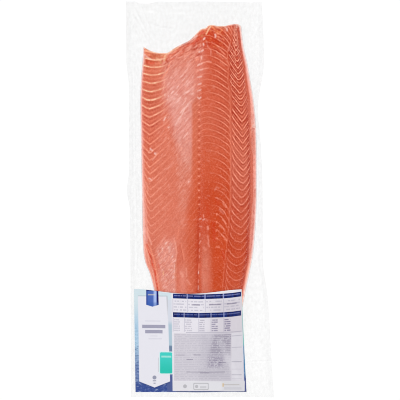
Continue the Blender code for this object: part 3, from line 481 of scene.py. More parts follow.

    # rims: the pale belly rim, and the fatty back rim with the dark line inside it; their outermost pale strips are
    # partly the flesh's own pale edge and partly a painted highlight along the edge
    belly_wide = np.interp(v, [46, 60, 80, 110, 150, 180, 200, 222, 238, 250, 265, 290], [0.8, 2.5, 2.3, 2.2, 2.8, 3.2, 4.0, 5.2, 5.2, 3.0, 1.8, 1.8])
    belly_wide = belly_wide * (1 + 0.16 * fractal(v / 5, v * 0, 36))
    lbw = np.maximum(lb, 0)
    col = over(col, ramp(v, [(50, (236, 172, 156)), (70, (232, 160, 144)), (100, (232, 150, 138)), (140, (238, 158, 142)), (200, (232, 152, 137)), (222, (236, 158, 142)), (240, (234, 156, 144)), (270, (246, 166, 146))]), 0.85 * step(lbw, belly_wide + 0.8, belly_wide - 0.8))
    # pale outer strips of the belly rim: partly the flesh's own colour, partly a painted highlight along the edge
    col = over(col, ramp(v, [(50, (243, 204, 198)), (120, (241, 196, 190)), (200, (247, 200, 192)), (290, (247, 190, 180))]), 0.85 * step(lbw, 0.52 * belly_wide + 0.3, 0.52 * belly_wide - 0.5))
    col = over(col, flesh(248, 226, 222), 0.85 * step(lbw, 1.0, 0.2))
    wide = np.interp(v, [40, 60, 80, 100, 116, 122, 130, 144, 152, 158, 185, 200, 210, 225, 240, 252, 265, 290], [2.0, 2.8, 3.4, 3.7, 4.6, 5.0, 5.2, 5.6, 4.4, 3.5, 3.5, 3.7, 4.4, 4.5, 4.6, 4.0, 3.2, 2.8])
    wide = wide * (1 + 0.12 * fractal(v / 4, v * 0, 38))
    dark_at = np.interp(v, [60, 80, 100, 120, 140, 160, 200, 220, 235, 250, 260, 290], [5.6, 6.6, 7.4, 8.2, 8.2, 7.9, 7.7, 7.8, 7.5, 6.4, 5.8, 5.2])
    dark_at = dark_at + 0.35 * fractal(v / 6, v * 0 + 2, 39)
    lobes = fractal((u + 0.5 * v) / 1.3, (v - 0.5 * u) / 3.4, 33)
    col = over(col, flesh(219, 114, 88), 0.85 * window(rb, wide - 0.3, wide + 0.3, dark_at - 1.6, dark_at - 0.4) * step(v, 96, 124))
    col = over(col, flesh(206, 100, 78), 0.6 * bell(rb, wide + 0.9, 0.7) * step(v, 150, 160))
    col = over(col, flesh(172, 50, 28), np.clip((0.30 + 0.62 * step(v, 100, 126)) * bell(rb, dark_at, 1.6) * step(v, 60, 90) * (0.92 + 0.4 * lobes), 0, 1))
    col = over(col, ramp(v, [(60, (238, 160, 144)), (84, (252, 174, 160)), (108, (250, 176, 161)), (118, (240, 160, 144)), (126, (244, 178, 164)), (134, (226, 136, 115)), (144, (223, 134, 115)), (151, (230, 148, 130)), (158, (248, 164, 147)), (178, (248, 164, 147)), (188, (238, 155, 138)), (198, (232, 150, 133)), (206, (219, 138, 123)), (216, (226, 150, 135)), (228, (219, 135, 121)), (246, (218, 134, 121)), (256, (233, 162, 142)), (268, (248, 172, 146)), (290, (240, 168, 152))]), 0.97 * step(rb, wide + 0.3, wide - 0.35))
    col = over(col, flesh(250, 168, 148), np.interp(v, [66, 84, 112, 124, 150, 160, 198, 212, 246, 256], [0.2, 0.5, 0.5, 0.1, 0.3, 0.3, 0.2, 0.85, 0.9, 0.3]) * bell(rb, wide - 0.45, 0.6) * (0.8 + 0.5 * lobes))
    # pale outer strips of the back rim: partly the flesh's own colour, partly a painted highlight along the edge
    col = over(col, ramp(v, [(60, (250, 205, 197)), (84, (236, 186, 174)), (96, (246, 200, 190)), (108, (236, 190, 180)), (118, (230, 170, 163)), (126, (248, 210, 203)), (134, (234, 168, 160)), (142, (239, 180, 166)), (150, (234, 171, 160)), (166, (236, 172, 160)), (186, (236, 172, 160)), (196, (226, 165, 153)), (206, (244, 190, 180)), (228, (236, 190, 182)), (236, (246, 200, 192)), (256, (238, 196, 190)), (268, (253, 208, 190)), (290, (243, 205, 195))]), 0.92 * step(rb, 2.3, 1.5))
    col = over(col, flesh(204, 108, 88), 0.70 * step(rb, wide + 0.3, wide - 0.35) * step(rb, 0.7, 1.3) * np.interp(v, [96, 116, 190, 204, 250, 262], [0, 0.9, 0.6, 1.0, 0.9, 0.2]) * step(lobes, 0.02, 0.32))
    col = over(col, flesh(252, 226, 220), 0.9 * step(rb, 1.1, 0.3))
    # painted light: brighter towards the belly, back and head edges, against the shade that falls on the steep sides
    col = col * (1 + 0.12 * step(lb, 3.0, 0.5) + 0.16 * step(rb, 5.0, 1.0) + 0.16 * step(rb, 1.3, 0.4) + 0.30 * step(hb, 1.6, 0.3))[:, None]

    layers = stroke_layers(u, v)
    marks = np.zeros_like(u)
    for ink, idx, mask in layers:
        tone = flesh(*INKS[ink])
        col[idx] = col[idx] * (1 - mask[:, None]) + tone * mask[:, None]
        if ink in PALE_INKS:
            marks[idx] = np.maximum(marks[idx], mask)

    # how strongly the sheets between the flakes show
    n, grad = flake_fields(u, v)
    right = step(u, xs + 0.4, xs + 2.2) * step(rb, dark_at - 1.8, dark_at + 0.4) * np.interp(v, [30, 60, 110, 160, 210, 245, 290], [1.05, 0.98, 0.88, 0.72, 0.62, 0.34, 0.3])
    back = np.interp(u - xs, [-32, -20, -15, -11, -4, -1.0, 0.2], [0.28, 0.29, 0.34, 0.56, 0.60, 0.42, 0.0])
    low = np.interp(u - xs, [-32, -17, -13, -9, -4, -1.0, 0.2], [0.04, 0.05, 0.17, 0.45, 0.45, 0.30, 0.0])
    far = np.interp(u - xs, [-32, -12, -8, -3, 0.2], [0.01, 0.01, 0.04, 0.10, 0.0])
    back = back + (low - back) * step(v, 135, 165)
    back = (back + (far - back) * step(v, 222, 248)) * (u < xs + 0.3) * (u > seam)
    left = np.interp(u, [140, 142.5, 150, 156, 163, 172, 186, 192, 200], [0.3, 0.74, 0.86, 0.72, 0.42, 0.2, 0.16, 0.22, 0.26]) * (u <= seam)
    left = left * np.interp(v, [50, 60, 110, 150, 200, 250, 290], [0.6, 1.0, 1.0, 0.72, 0.62, 0.5, 0.4])
    strength = np.clip(right + back + left, 0, 1)
    strength = strength * np.interp(v, [24, 34, 48, 60, 80, 110], [0.85, 1.05, 1.15, 1.12, 1.05, 1.0])
    strength = strength * (0.94 + 0.55 * fractal(u / 6, v / 4.5, 41)) * (1 - 0.16 * step(u, xs + 11.0, xs + 13.5)) * step(np.minimum(lb, rb), 0.8, 2.2)
    strength = strength * (1 - 0.6 * np.clip(membrane, 0, 1) * step(u, 166, 173)) * (1 - 0.75 * patch) 
    # flank: how strongly the painted shade beside each sheet shows
    flank = (step(u, 206, 216) * (0.85 + 0.25 * step(u, xs, xs + 3) * step(v, 170, 110)) + 0.72 * step(u, 168, 158) * step(v, 215, 110)) * strength
    cream = step(u, 172, 160) * step(v, 128, 88)
    streaky = np.clip(step(u, 150, 168) * (1 - step(u, right_at - 3, right_at + 1)) * np.interp(v, [50, 60, 120, 200, 230, 250], [0.6, 1.0, 1.0, 0.75, 0.5, 0.2]) + 0.5 * patch, 0, 1)
    # crossing hatch of the scaly patch
    hatch = patch
    return dict(u=u, v=v, base=np.clip(col, 0, 0.98), phase=n, grad=grad, strength=np.clip(strength, 0, 1.2), flank=np.clip(flank, 0, 1), cream=cream, marks=marks, hatch=hatch, streaky=streaky, septum=u - xs, seam=u - seam, membrane=np.clip(membrane, 0, 1), inside=np.minimum(np.minimum(lb, rb), hb))


def relief(x, y, f, film=False):
    """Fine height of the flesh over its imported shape, in mm: flakes, grooves, folds. Never above +0.3."""
    u, v = f["u"], f["v"]
    t = f["phase"] - np.floor(f["phase"])
    near = np.abs(f["phase"] - np.round(f["phase"])) / f["grad"]
    flakes = f["strength"] * (0.13 * np.sin(np.pi * t) ** 0.8 - 0.17 * np.exp(-((near / 0.8) ** 2)))
    if film:
        h = 0.5 * flakes - 0.10 * bell(f["seam"], -0.4, 3.0)
    else:
        h = flakes - 0.32 * bell(f["septum"], 0.0, 1.1) * window(v, 30, 60, 320, 345)
        h = h - (0.25 + 0.5 * step(v, 200, 240)) * bell(f["seam"], -0.4, 1.3) * step(v, 60, 90)
    h = h + 0.22 * f["membrane"] * step(u, 180, 190)
    h = h + 0.14 * fractal(u / 7, v / 9, 51, 3) - 0.14
    h = h + 0.10 * f["marks"]
    fold_u = np.interp(v, [240, 250, 259, 265, 271, 277, 287, 330], [145.5, 148.7, 151.5, 153, 155, 155.8, 157.6, 166.0])
    fold = window(v, 238, 248, 300, 330)
    h = h - 0.5 * fold * bell(u, fold_u, 0.9) + 0.12 * fold * bell(u, fold_u + 2.2, 1.1)
    return np.minimum(h, 0.3)


# ================================================================ meshes
def spread(length, pitch, edge=(0.0, 0.1, 0.35, 0.8, 1.5, 2.4, 3.5, 4.7)):
    """Positions from 0 to 1 along a length in mm: close together at both ends, even between."""
    inner = length - 2 * edge[-1]
    n = int(round(inner / pitch))
    mid = edge[-1] + inner * np.arange(1, n) / n
    return np.concatenate([edge, mid, length - np.array(edge[::-1])]) / length


A_LINES = spread(196.0, 1.18)
B_LINES = spread(600.0, 1.18)
A_FILM = spread(196.0, 1.8)
B_FILM = spread(600.0, 1.8)
A_MARGIN = np.array([0.0, 0.05, 0.10, 0.15, 0.20, 0.25, 0.30, 0.35, 0.40, 0.45, 0.50, 0.55, 0.60, 0.65, 0.70, 0.75, 0.80, 0.85, 0.90, 0.94, 0.98])
B_MARGIN_HEAD = np.linspace(0, 1, 41)[:-1]
B_MARGIN_HEAD = 1 - (1 - B_MARGIN_HEAD) ** 1.15
B_MARGIN_TAIL = np.linspace(0, 1, 23)[:-1]


def fish_point(a, b):
    """x, y in mm of the point a across (belly 0, back 1) and b along (tail 0, head 1)."""
    y_tail, y_head = tail_cut(a), head_cut(a)
    y = y_tail + b * (y_head - y_tail)
    x0, x1 = belly_edge(y), back_edge(y)
    return x0 + a * (x1 - x0), y


def pouch_edge_y(x, end):
    """The slightly wavy cut ends of the pouch."""
    if end > 0:
        return POUCH_END - 3.4 * window(x, -112, -106, -90, -72) - 0.7 * (1 - np.cos(x / 31)) * step(x, -70, -40)
    return -POUCH_END + 0.5 * (1 - np.cos(x / 27 + 1.0))


def pouch_point(a, b):
    ac, bc = np.clip(a, 0, 1), np.clip(b, 0, 1)
    x, y = fish_point(ac, bc)
    fan = np.clip(-b, 0, 1)
    x = x + fan * 1.1 * (x - 3)
    yt = pouch_edge_y(x, 1)
    yb = pouch_edge_y(x, -1)
    y = np.where(b > 1, y + (b - 1) * (yt - y), y)
    y = np.where(b < 0, y + fan * (yb - y), y)
    x = np.where(a < 0, x - a * (pouch_left(y) - x), x)
    x = np.where(a > 1, x + (a - 1) * (pouch_right(y) - x), x)
    # the corners of the pouch follow its cut ends too
    end = np.where(b > 1, pouch_edge_y(x, 1), pouch_edge_y(x, -1))
    y = np.where((b >= 2) | (b <= -1), end, y)
    return x, y


def grid_faces(nu, nv):
    i, j = np.meshgrid(np.arange(nu - 1), np.arange(nv - 1), indexing="ij")
    k = i * nv + j
    return np.stack([k, k + nv, k + nv + 1, k + 1], -1).reshape(-1, 4)


def new_piece(name, verts_mm, faces, smooth=True):
    mesh = bpy.data.meshes.new(name)
    verts = np.asarray(verts_mm, float) * MM
    if isinstance(faces, np.ndarray):
        n = len(faces)
        mesh.vertices.add(len(verts))
        mesh.vertices.foreach_set("co", verts.astype(np.float32).ravel())
        mesh.loops.add(n * 4)
        mesh.loops.foreach_set("vertex_index", faces.astype(np.int32).ravel())
        mesh.polygons.add(n)
        mesh.polygons.foreach_set("loop_start", np.arange(0, n * 4, 4, dtype=np.int32))
        mesh.polygons.foreach_set("loop_total", np.full(n, 4, np.int32))
        mesh.update(calc_edges=True)
    else:
        mesh.from_pydata(verts.tolist(), [], faces)
    mesh.validate()
    if smooth:
        mesh.shade_smooth()
    obj = bpy.data.objects.new(name, mesh)
    bpy.context.scene.collection.objects.link(obj)
    return obj


def put(obj, name, values):
    """Stores a number or a colour at every point."""
    values = np.asarray(values, np.float32)
    if values.ndim == 1:
        obj.data.attributes.new(name, "FLOAT", "POINT").data.foreach_set("value", values)
    else:
        rgba = np.ones((len(values), 4), np.float32)
        rgba[:, :3] = values
        obj.data.attributes.new(name, "FLOAT_COLOR", "POINT").data.foreach_set("color", rgba.ravel())


def border(nu, nv):
    """The grid's border, once round, as vertex numbers."""
    i = np.arange(nu)
    j = np.arange(nv)
    return np.concatenate([i[:-1] * nv, (nu - 1) * nv + j[:-1], i[:0:-1] * nv + nv - 1, j[:0:-1]])


def under_faces(nu, nv, ring_start, inner_start, coarse, rows):
    """Faces that close a grid from below, with few points inside. ring_start: the lower border; inner_start: the inner points."""
    m = 2 * (nu + nv) - 4

    def low(i, j):
        if j == 0:
            k = i
        elif i == nu - 1:
            k = nu - 1 + j
        elif j == nv - 1:
            k = 2 * (nu - 1) + nv - 1 - i
        else:
            k = 2 * (nu - 1) + 2 * (nv - 1) - j
        return ring_start + k % m

    def at(c, r):
        i, j = coarse[c], rows[r]
        if j in (0, nv - 1) or i in (0, nu - 1):
            return low(i, j)
        return inner_start + (c - 1) * (len(rows) - 2) + r - 1

    faces = []
    last_c, last_r = len(coarse) - 2, len(rows) - 2
    for c in range(last_c + 1):
        for r in range(last_r + 1):
            i0, i1, j0, j1 = coarse[c], coarse[c + 1], rows[r], rows[r + 1]
            loop = [low(0, j) for j in range(j0, j1)] if c == 0 else [at(c, r)]
            loop += [low(i, nv - 1) for i in range(i0, i1)] if r == last_r else [at(c, r + 1)]
            loop += [low(nu - 1, j) for j in range(j1, j0, -1)] if c == last_c else [at(c + 1, r + 1)]
            loop += [low(i, 0) for i in range(i1, i0, -1)] if r == 0 else [at(c + 1, r)]
            faces.append(loop)
    return faces


def build_flesh():
    aa, bb = np.meshgrid(A_LINES, B_LINES, indexing="ij")
    a, b = aa.ravel(), bb.ravel()
    x, y = fish_point(a, b)
    body, inside = body_height(x, y)
    f = flesh_paint(x, y)
    h = relief(x, y, f) * step(inside, 0.5, 4.0)
    top = BASE + 0.35 + np.maximum(body + h, 0)
    nu, nv = len(A_LINES), len(B_LINES)
    ring = border(nu, nv)
    low = np.stack([x[ring], y[ring], np.full(len(ring), BASE)], -1)
    coarse = sorted({int(k) for k in np.round(np.linspace(0, nu - 1, 13))})
    rows = [0] + sorted({int(k) for k in np.round(np.linspace(18, nv - 19, 60))}) + [nv - 1]
    keep = np.array([i * nv + j for i in coarse[1:-1] for j in rows[1:-1]])
    inner = np.stack([x[keep], y[keep], np.full(len(keep), BASE)], -1)
    verts = np.concatenate([np.stack([x, y, top], -1), low, inner])
    faces = grid_faces(nu, nv).tolist()
    m, start = len(ring), nu * nv
    for k in range(m):
        k2 = (k + 1) % m
        faces.append([int(ring[k2]), int(ring[k]), start + k, start + k2])
    faces += under_faces(nu, nv, start, start + m, coarse, rows)
    obj = new_piece("fillet_flesh", verts, faces)
    for name in ("phase", "grad", "strength", "flank", "cream", "streaky", "hatch", "septum", "seam", "membrane"):
        put(obj, name, np.concatenate([f[name], f[name][ring], f[name][keep]]))
    put(obj, "base", np.concatenate([f["base"], f["base"][ring], f["base"][keep]]))
    # skin shows low on the back and belly sides
    a, from_belly, from_back, from_head, from_tail = edges(x, y)
    high_on_back = 0.24 + 0.12 * fractal(y / 31, y * 0 + 3, 111)
    on_skin = np.maximum(step(from_back, high_on_back + 0.15, high_on_back - 0.1), step(from_belly, 0.22, 0.05))
    on_skin = on_skin * step(from_head, 0.3, 1.2) * step(from_tail, 0.3, 1.2)
    put(obj, "skin", np.concatenate([on_skin, np.ones(len(ring)), np.ones(len(keep))]))
    return obj


def build_skin():
    """The skin under the flesh: a thin sheet that turns up round the edge."""
    la, lb = np.linspace(0, 1, 61), np.linspace(0, 1, 181)
    aa, bb = np.meshgrid(la, lb, indexing="ij")
    gx, gy = fish_point(aa.ravel(), bb.ravel())
    nu, nv = len(la), len(lb)
    ring = border(nu, nv)
    x, y = gx[ring], gy[ring]
    m = len(ring)
    tx, ty = np.roll(x, -1) - np.roll(x, 1), np.roll(y, -1) - np.roll(y, 1)
    ln = np.maximum(np.hypot(tx, ty), 1e-9)
    nx, ny = ty / ln, -tx / ln
    lift = 1.0 + 0.25 * fractal(x / 19, y / 23, 61)
    profile = [(0.0, 0.42), (0.16, 0.55), (0.26, 0.85), (0.28, 1.1), (0.24, 1.3), (0.12, 1.32), (0.03, 1.2), (0.0, 0.86)]
    inner_low = np.stack([gx, gy, 0.34 + 0.03 * fractal(gx / 21, gy / 25, 63)], -1)
    inner_high = np.stack([gx, gy, np.full(len(gx), 0.84)], -1)
    verts = [inner_low, inner_high]
    for off, z in profile[1:-1]:
        verts.append(np.stack([x + nx * off, y + ny * off, z * (lift if z > 1 else 1) * np.ones(m)], -1))
    verts = np.concatenate(verts)
    n = nu * nv
    faces = grid_faces(nu, nv)[:, ::-1].tolist() + (grid_faces(nu, nv) + n).tolist()
    rings = [ring] + [2 * n + r * m + np.arange(m) for r in range(len(profile) - 2)] + [ring + n]
    for lower, upper in zip(rings[:-1], rings[1:]):
        for k in range(m):
            k2 = (k + 1) % m
            faces.append([int(lower[k]), int(lower[k2]), int(upper[k2]), int(upper[k])])
    obj = new_piece("salmon_skin", verts, faces)
    acr = np.clip((verts[:, 0] - belly_edge(verts[:, 1])) / (back_edge(verts[:, 1]) - belly_edge(verts[:, 1])), 0, 1)
    put(obj, "across", acr)
    put(obj, "lip", np.concatenate([np.zeros(2 * n), np.repeat([0.0, 0.3, 0.8, 1.0, 1.0, 1.0], m)]))
    bm = bmesh.new()
    bm.from_mesh(obj.data)
    bmesh.ops.recalc_face_normals(bm, faces=bm.faces)
    bm.to_mesh(obj.data)
    bm.free()
    return obj


# creases of the upper film in the margins: (points, width, height in mm, dark share); the dark share is painted shade
# beside the fold in the film's tint, and a negative share paints a highlight streak
CREASES = [
    ([(134.0, 56), (134.6, 120), (135.4, 180), (136.6, 240), (137.2, 282)], 0.9, 0.30, 0.35),
    ([(131.4, 60), (131.8, 150), (132.6, 240), (133.6, 300)], 0.8, 0.15, 0.15),
    ([(259.4, 70), (260.2, 120), (261.2, 180), (261.8, 240), (262.4, 300)], 0.9, 0.24, 0.14),
    ([(256.4, 96), (257.8, 130), (258.6, 190), (258.6, 250)], 0.7, 0.10, 0.0),
    ([(148.0, 22), (154, 25), (160, 27.2), (168, 28.2), (176, 28.4)], 0.9, 0.35, 0.55),
    ([(129.6, 9), (136, 20), (143, 33), (149.5, 45)], 0.8, 0.30, 0.30),
    ([(133.6, 5), (139, 17), (146, 31), (152, 43)], 0.8, 0.28, 0.35),
    ([(140.4, 4.4), (144, 14), (149, 25), (155.6, 38)], 0.7, 0.25, 0.30),
    ([(129.0, 20), (134, 29), (140, 40), (143.4, 50)], 0.9, 0.28, 0.30),
    ([(150, 6), (157, 15), (166, 26), (178, 37)], 0.7, 0.18, 0.18),
    ([(176, 6), (182, 15), (189, 25), (194, 33)], 0.7, 0.15, 0.15),
    ([(214, 3), (213, 12), (210.6, 21)], 0.7, 0.14, 0.12),
    ([(236, 4), (235.6, 13), (235, 21)], 0.7, 0.14, 0.12),
    ([(254, 6), (249, 17), (244, 28), (241, 34)], 0.8, 0.20, 0.2),
    ([(262, 22), (254, 36), (247, 50)], 0.8, 0.20, 0.2),
    ([(144.5, 12.4), (158, 12.2)], 0.8, 0.30, -0.6),
    ([(162, 13.2), (180, 13.4), (200, 12.4)], 0.7, 0.22, -0.35),
    ([(128, 12.6), (262, 12.0)], 0.6, 0.10, 0.12),
    ([(256.3, 334), (257.4, 346), (259.1, 358)], 1.0, 0.45, -0.8),
    ([(258.6, 330), (261.6, 346), (266.0, 360)], 1.1, 0.40, 0.35),
    ([(248.4, 361.5), (273, 360.6)], 0.8, 0.25, 0.45),
    ([(131, 372), (134, 346), (134.4, 320)], 0.7, 0.20, 0.2),
    ([(250.0, 372), (253.0, 386), (254.0, 394)], 0.8, 0.20, 0.2),
    ([(263, 366), (266, 380), (266.6, 393)], 0.8, 0.22, 0.2),
    ([(139, 243), (136.4, 262), (134.6, 286)], 0.9, 0.28, 0.35),
    ([(258.6, 262), (262.4, 284), (266.6, 312)], 0.9, 0.28, 0.3),
]
DENTS = [(138, 18, 3.4, 2.2, 0.5), (136, 25, 2.6, 2.0, 0.35), (150, 33, 4.0, 2.2, 0.25), (247, 14, 4.0, 2.4, 0.2), (185, 19, 6.0, 2.0, 0.18)]


def crease_fields(u, v):
    """Height in mm and dark share of the creases: the dark share is painted shade and painted highlight in the film's
    tint.
    """
    h, dark = np.zeros_like(u), np.zeros_like(u)
    for pts, width, height, share in CREASES:
        d = np.full_like(u, 99.0)
        t = np.zeros_like(u)
        total = 0.0
        lens = [math.dist(p, q) for p, q in zip(pts[:-1], pts[1:])]
        for (p, q), ln in zip(zip(pts[:-1], pts[1:]), lens):
            du, dv = q[0] - p[0], q[1] - p[1]
            k = np.clip(((u - p[0]) * du + (v - p[1]) * dv) / (ln * ln), 0, 1)
            side = ((u - p[0]) * dv - (v - p[1]) * du) / ln
            dd = np.hypot(u - p[0] - k * du, v - p[1] - k * dv)
            near = dd < np.abs(d)
            d = np.where(near, np.where(side < 0, -dd, dd), d)
            t = np.where(near, (total + k * ln) / sum(lens), t)
            total += ln
        fade = np.clip(np.minimum(t, 1 - t) * 6, 0, 1) * (0.75 + 0.35 * noise2(t * sum(lens) / 7, t * 0 + width * 9, 5))
        h = h + height * fade * np.exp(-((d / (width * 1.15)) ** 2))
        dark = dark + share * fade * np.exp(-(((d - 0.55) / (width * 0.75)) ** 2)) - 0.55 * abs(share) * fade * np.exp(-(((d + 0.75) / (width * 0.7)) ** 2))
    for cu, cv, ru, rv, s in DENTS:
        r = np.hypot((u - cu) / ru, (v - cv) / rv)
        h = h - 0.3 * s * np.exp(-r * r)
        dark = dark + s * (np.exp(-((r - 0.75) / 0.35) ** 2) * 0.5 - 0.3 * np.exp(-r * r * 3))
    return h, dark


def film_height(x, y, f, body, inside):
    """Height of the upper film in mm."""
    u, v = f["u"], f["v"]
    out = np.maximum(-inside, 0)
    h = relief(x, y, f, film=True) * step(inside, 0.5, 4.0)
    skirt = SKIRT * np.exp(-np.abs(inside) / SKIRT_REACH)
    drawn = np.hypot(np.maximum(body + h, 0), skirt)
    # small pleats that run out from the foot of the fish
    round_at = x * 0.9 + y * 1.1
    pleat = np.sin(x / 2.1 + 2.2 * noise2(x / 17, y / 17, 71)) * np.sin(y / 2.9 + 2.0 * noise2(x / 23, y / 19, 73))
    pleat = pleat * np.exp(-out / 7) * step(out, 0.0, 3.0) * (0.5 + 0.5 * noise2(x / 13, y / 13, 75)) * 0.35
    crease, dark = crease_fields(u, v)
    edge = np.minimum(np.minimum(x - pouch_left(y), pouch_right(y) - x), np.minimum(pouch_edge_y(x, 1) - y, y - pouch_edge_y(x, -1)))
    ripple = 0.22 * np.sin(x / 23 + 1.3 * np.sin(y / 61)) * np.sin(y / 37 + x / 90) + 0.16 * fractal(x / 21, y / 34, 81, 3)
    free = MARGIN + ripple + crease * step(-inside, 0, 3) + pleat
    seal = step(edge, 0.0, 7.0)
    free = 0.34 + (free - 0.34) * (0.15 + 0.85 * seal)
    over_fish = step(inside, -6, 0.0)
    z = np.where(inside > 0, BASE + 0.35 + GAP + drawn, free * (1 - over_fish) + (BASE + 0.35 + GAP) * over_fish + drawn)
    # painted light and shade of the margins: the film's tint is darker over the left and middle, more so at the head
    # end on the left, and lighter on the right
    dark = dark - 0.10 * step(x, 84, 104) + 0.075 * (1 - step(x, 60, 90)) + 0.05 * step(y, 262, 300) * step(-x, -90, 20)
    return z, dark * step(-inside, -1, 2), edge


def build_film_top():
    a_all = np.concatenate([A_MARGIN - 1, A_FILM, 2 - A_MARGIN[::-1]])
    b_all = np.concatenate([B_MARGIN_TAIL - 1, B_FILM, 2 - B_MARGIN_HEAD[::-1]])
    aa, bb = np.meshgrid(a_all, b_all, indexing="ij")
    x, y = pouch_point(aa.ravel(), bb.ravel())
    body, inside = body_height(x, y)
    f = flesh_paint(x, y)
    z, dark, edge = film_height(x, y, f, body, inside)
    obj = new_piece("film_top", np.stack([x, y, z], -1), grid_faces(len(a_all), len(b_all)))
    put(obj, "crease", dark)
    put(obj, "rim", edge)
    put(obj, "onfish", step(inside, -1, 3))
    return obj


def build_film_bottom():
    s = np.linspace(0, 1, 80)
    t = np.linspace(0, 1, 216)
    ss, tt = np.meshgrid(s, t, indexing="ij")
    y = (-POUCH_END + 2 * POUCH_END * tt).ravel()
    ss = ss.ravel()
    x = pouch_left(y) + ss * (pouch_right(y) - pouch_left(y))
    y = np.clip(y, pouch_edge_y(x, -1), pouch_edge_y(x, 1))
    z = 0.13 + 0.05 * fractal(x / 25, y / 31, 91, 3)
    obj = new_piece("film_bottom", np.stack([x, y, z], -1), grid_faces(80, 216)[:, ::-1])
    put(obj, "crease", 0.12 * fractal(x / 9, y / 40, 93, 3))
    put(obj, "rim", np.minimum(x - pouch_left(y), pouch_right(y) - x))
    return obj


def build_label():
    """The label: it bridges from the high spots of the pouch, like a stiff sheet laid over it."""
    cell = 1.5
    gx = np.arange(-124, 92, cell)
    gy = np.arange(-345, -146, cell)
    xx, yy = np.meshgrid(gx, gy, indexing="ij")
    body, inside = body_height(xx.ravel(), yy.ravel())
    skirt = SKIRT * np.exp(-np.abs(inside) / SKIRT_REACH)
    z = (np.where(inside > 0, BASE + 0.6, MARGIN + 0.45) + np.hypot(body, skirt)).reshape(xx.shape)
    reach = int(round(8 / cell))
    pad = np.pad(z, reach, mode="edge")
    high = z.copy()
    nx, ny = z.shape
    for di in range(-reach, reach + 1):
        for dj in range(-reach, reach + 1):
            if di * di + dj * dj <= reach * reach:
                high = np.maximum(high, pad[reach + di:reach + di + nx, reach + dj:reach + dj + ny])
    k = np.exp(-0.5 * (np.arange(-6, 7) / 2.4) ** 2)
    k /= k.sum()
    soft = np.apply_along_axis(lambda r: np.convolve(np.pad(r, 6, mode="edge"), k, "valid"), 0, high)
    soft = np.apply_along_axis(lambda r: np.convolve(np.pad(r, 6, mode="edge"), k, "valid"), 1, soft)
    soft = np.maximum(soft, z + 0.2)

    def height(x, y):
        fi = np.clip((x - gx[0]) / cell, 0, nx - 1.001)
        fj = np.clip((y - gy[0]) / cell, 0, ny - 1.001)
        i, j = fi.astype(int), fj.astype(int)
        p, q = fi - i, fj - j
        return soft[i, j] * (1 - p) * (1 - q) + soft[i + 1, j] * p * (1 - q) + soft[i, j + 1] * (1 - p) * q + soft[i + 1, j + 1] * p * q

    nu, nv = 110, 104
    ii, jj = np.meshgrid(np.arange(nu) / (nu - 1), np.arange(nv) / (nv - 1), indexing="ij")
    p, q = ii.ravel(), jj.ravel()
    sag = LABEL_SAG * np.sin(np.pi * np.minimum(p / 1.02, 1)) ** 1.8
    top = LABEL_TOP_Y - sag
    bottom = LABEL_BOTTOM_Y + 0.6 * np.sin(p * 9.0) * step(p, 0.35, 0.6)
    y = bottom + (top - bottom) * q
    x = label_left(y) * (1 - p) + label_right(y) * p
    wave = 0.18 * np.sin(x / 13 + 0.7 * np.sin(y / 29)) * np.sin(y / 17 + 0.5) + 0.12 * fractal(x / 15, y / 15, 101, 2)
    z0 = height(x, y) + 0.05 + np.abs(wave)
    thick = 0.25
    lu = U0 + x / 1.75
    vy = V0 - y / 1.75
    lv = vy + step(vy, 362, 300) * np.interp(lu, [134, 150, 172, 200, 222, 232, 240, 247], [0.5, 0.3, 0.3, -0.4, 0.4, 1.2, 2.3, 3.0])
    upper = np.stack([x, y, z0 + thick], -1)
    lower = np.stack([x, y, z0], -1)
    faces = grid_faces(nu, nv)
    ring = border(nu, nv)
    m = len(ring)
    nxt = np.roll(ring, -1)
    walls = np.stack([nxt, ring, ring + nu * nv, nxt + nu * nv], -1)
    allf = np.concatenate([faces, faces[:, ::-1] + nu * nv, walls])
    obj = new_piece("label_sheet", np.concatenate([upper, lower]), allf)
    put(obj, "lu", np.tile(lu, 2))
    put(obj, "lv", np.tile(lv, 2))
    put(obj, "front", np.concatenate([np.ones(nu * nv), np.zeros(nu * nv)]))
    obj.data.set_sharp_from_angle(angle=0.9)
    return obj


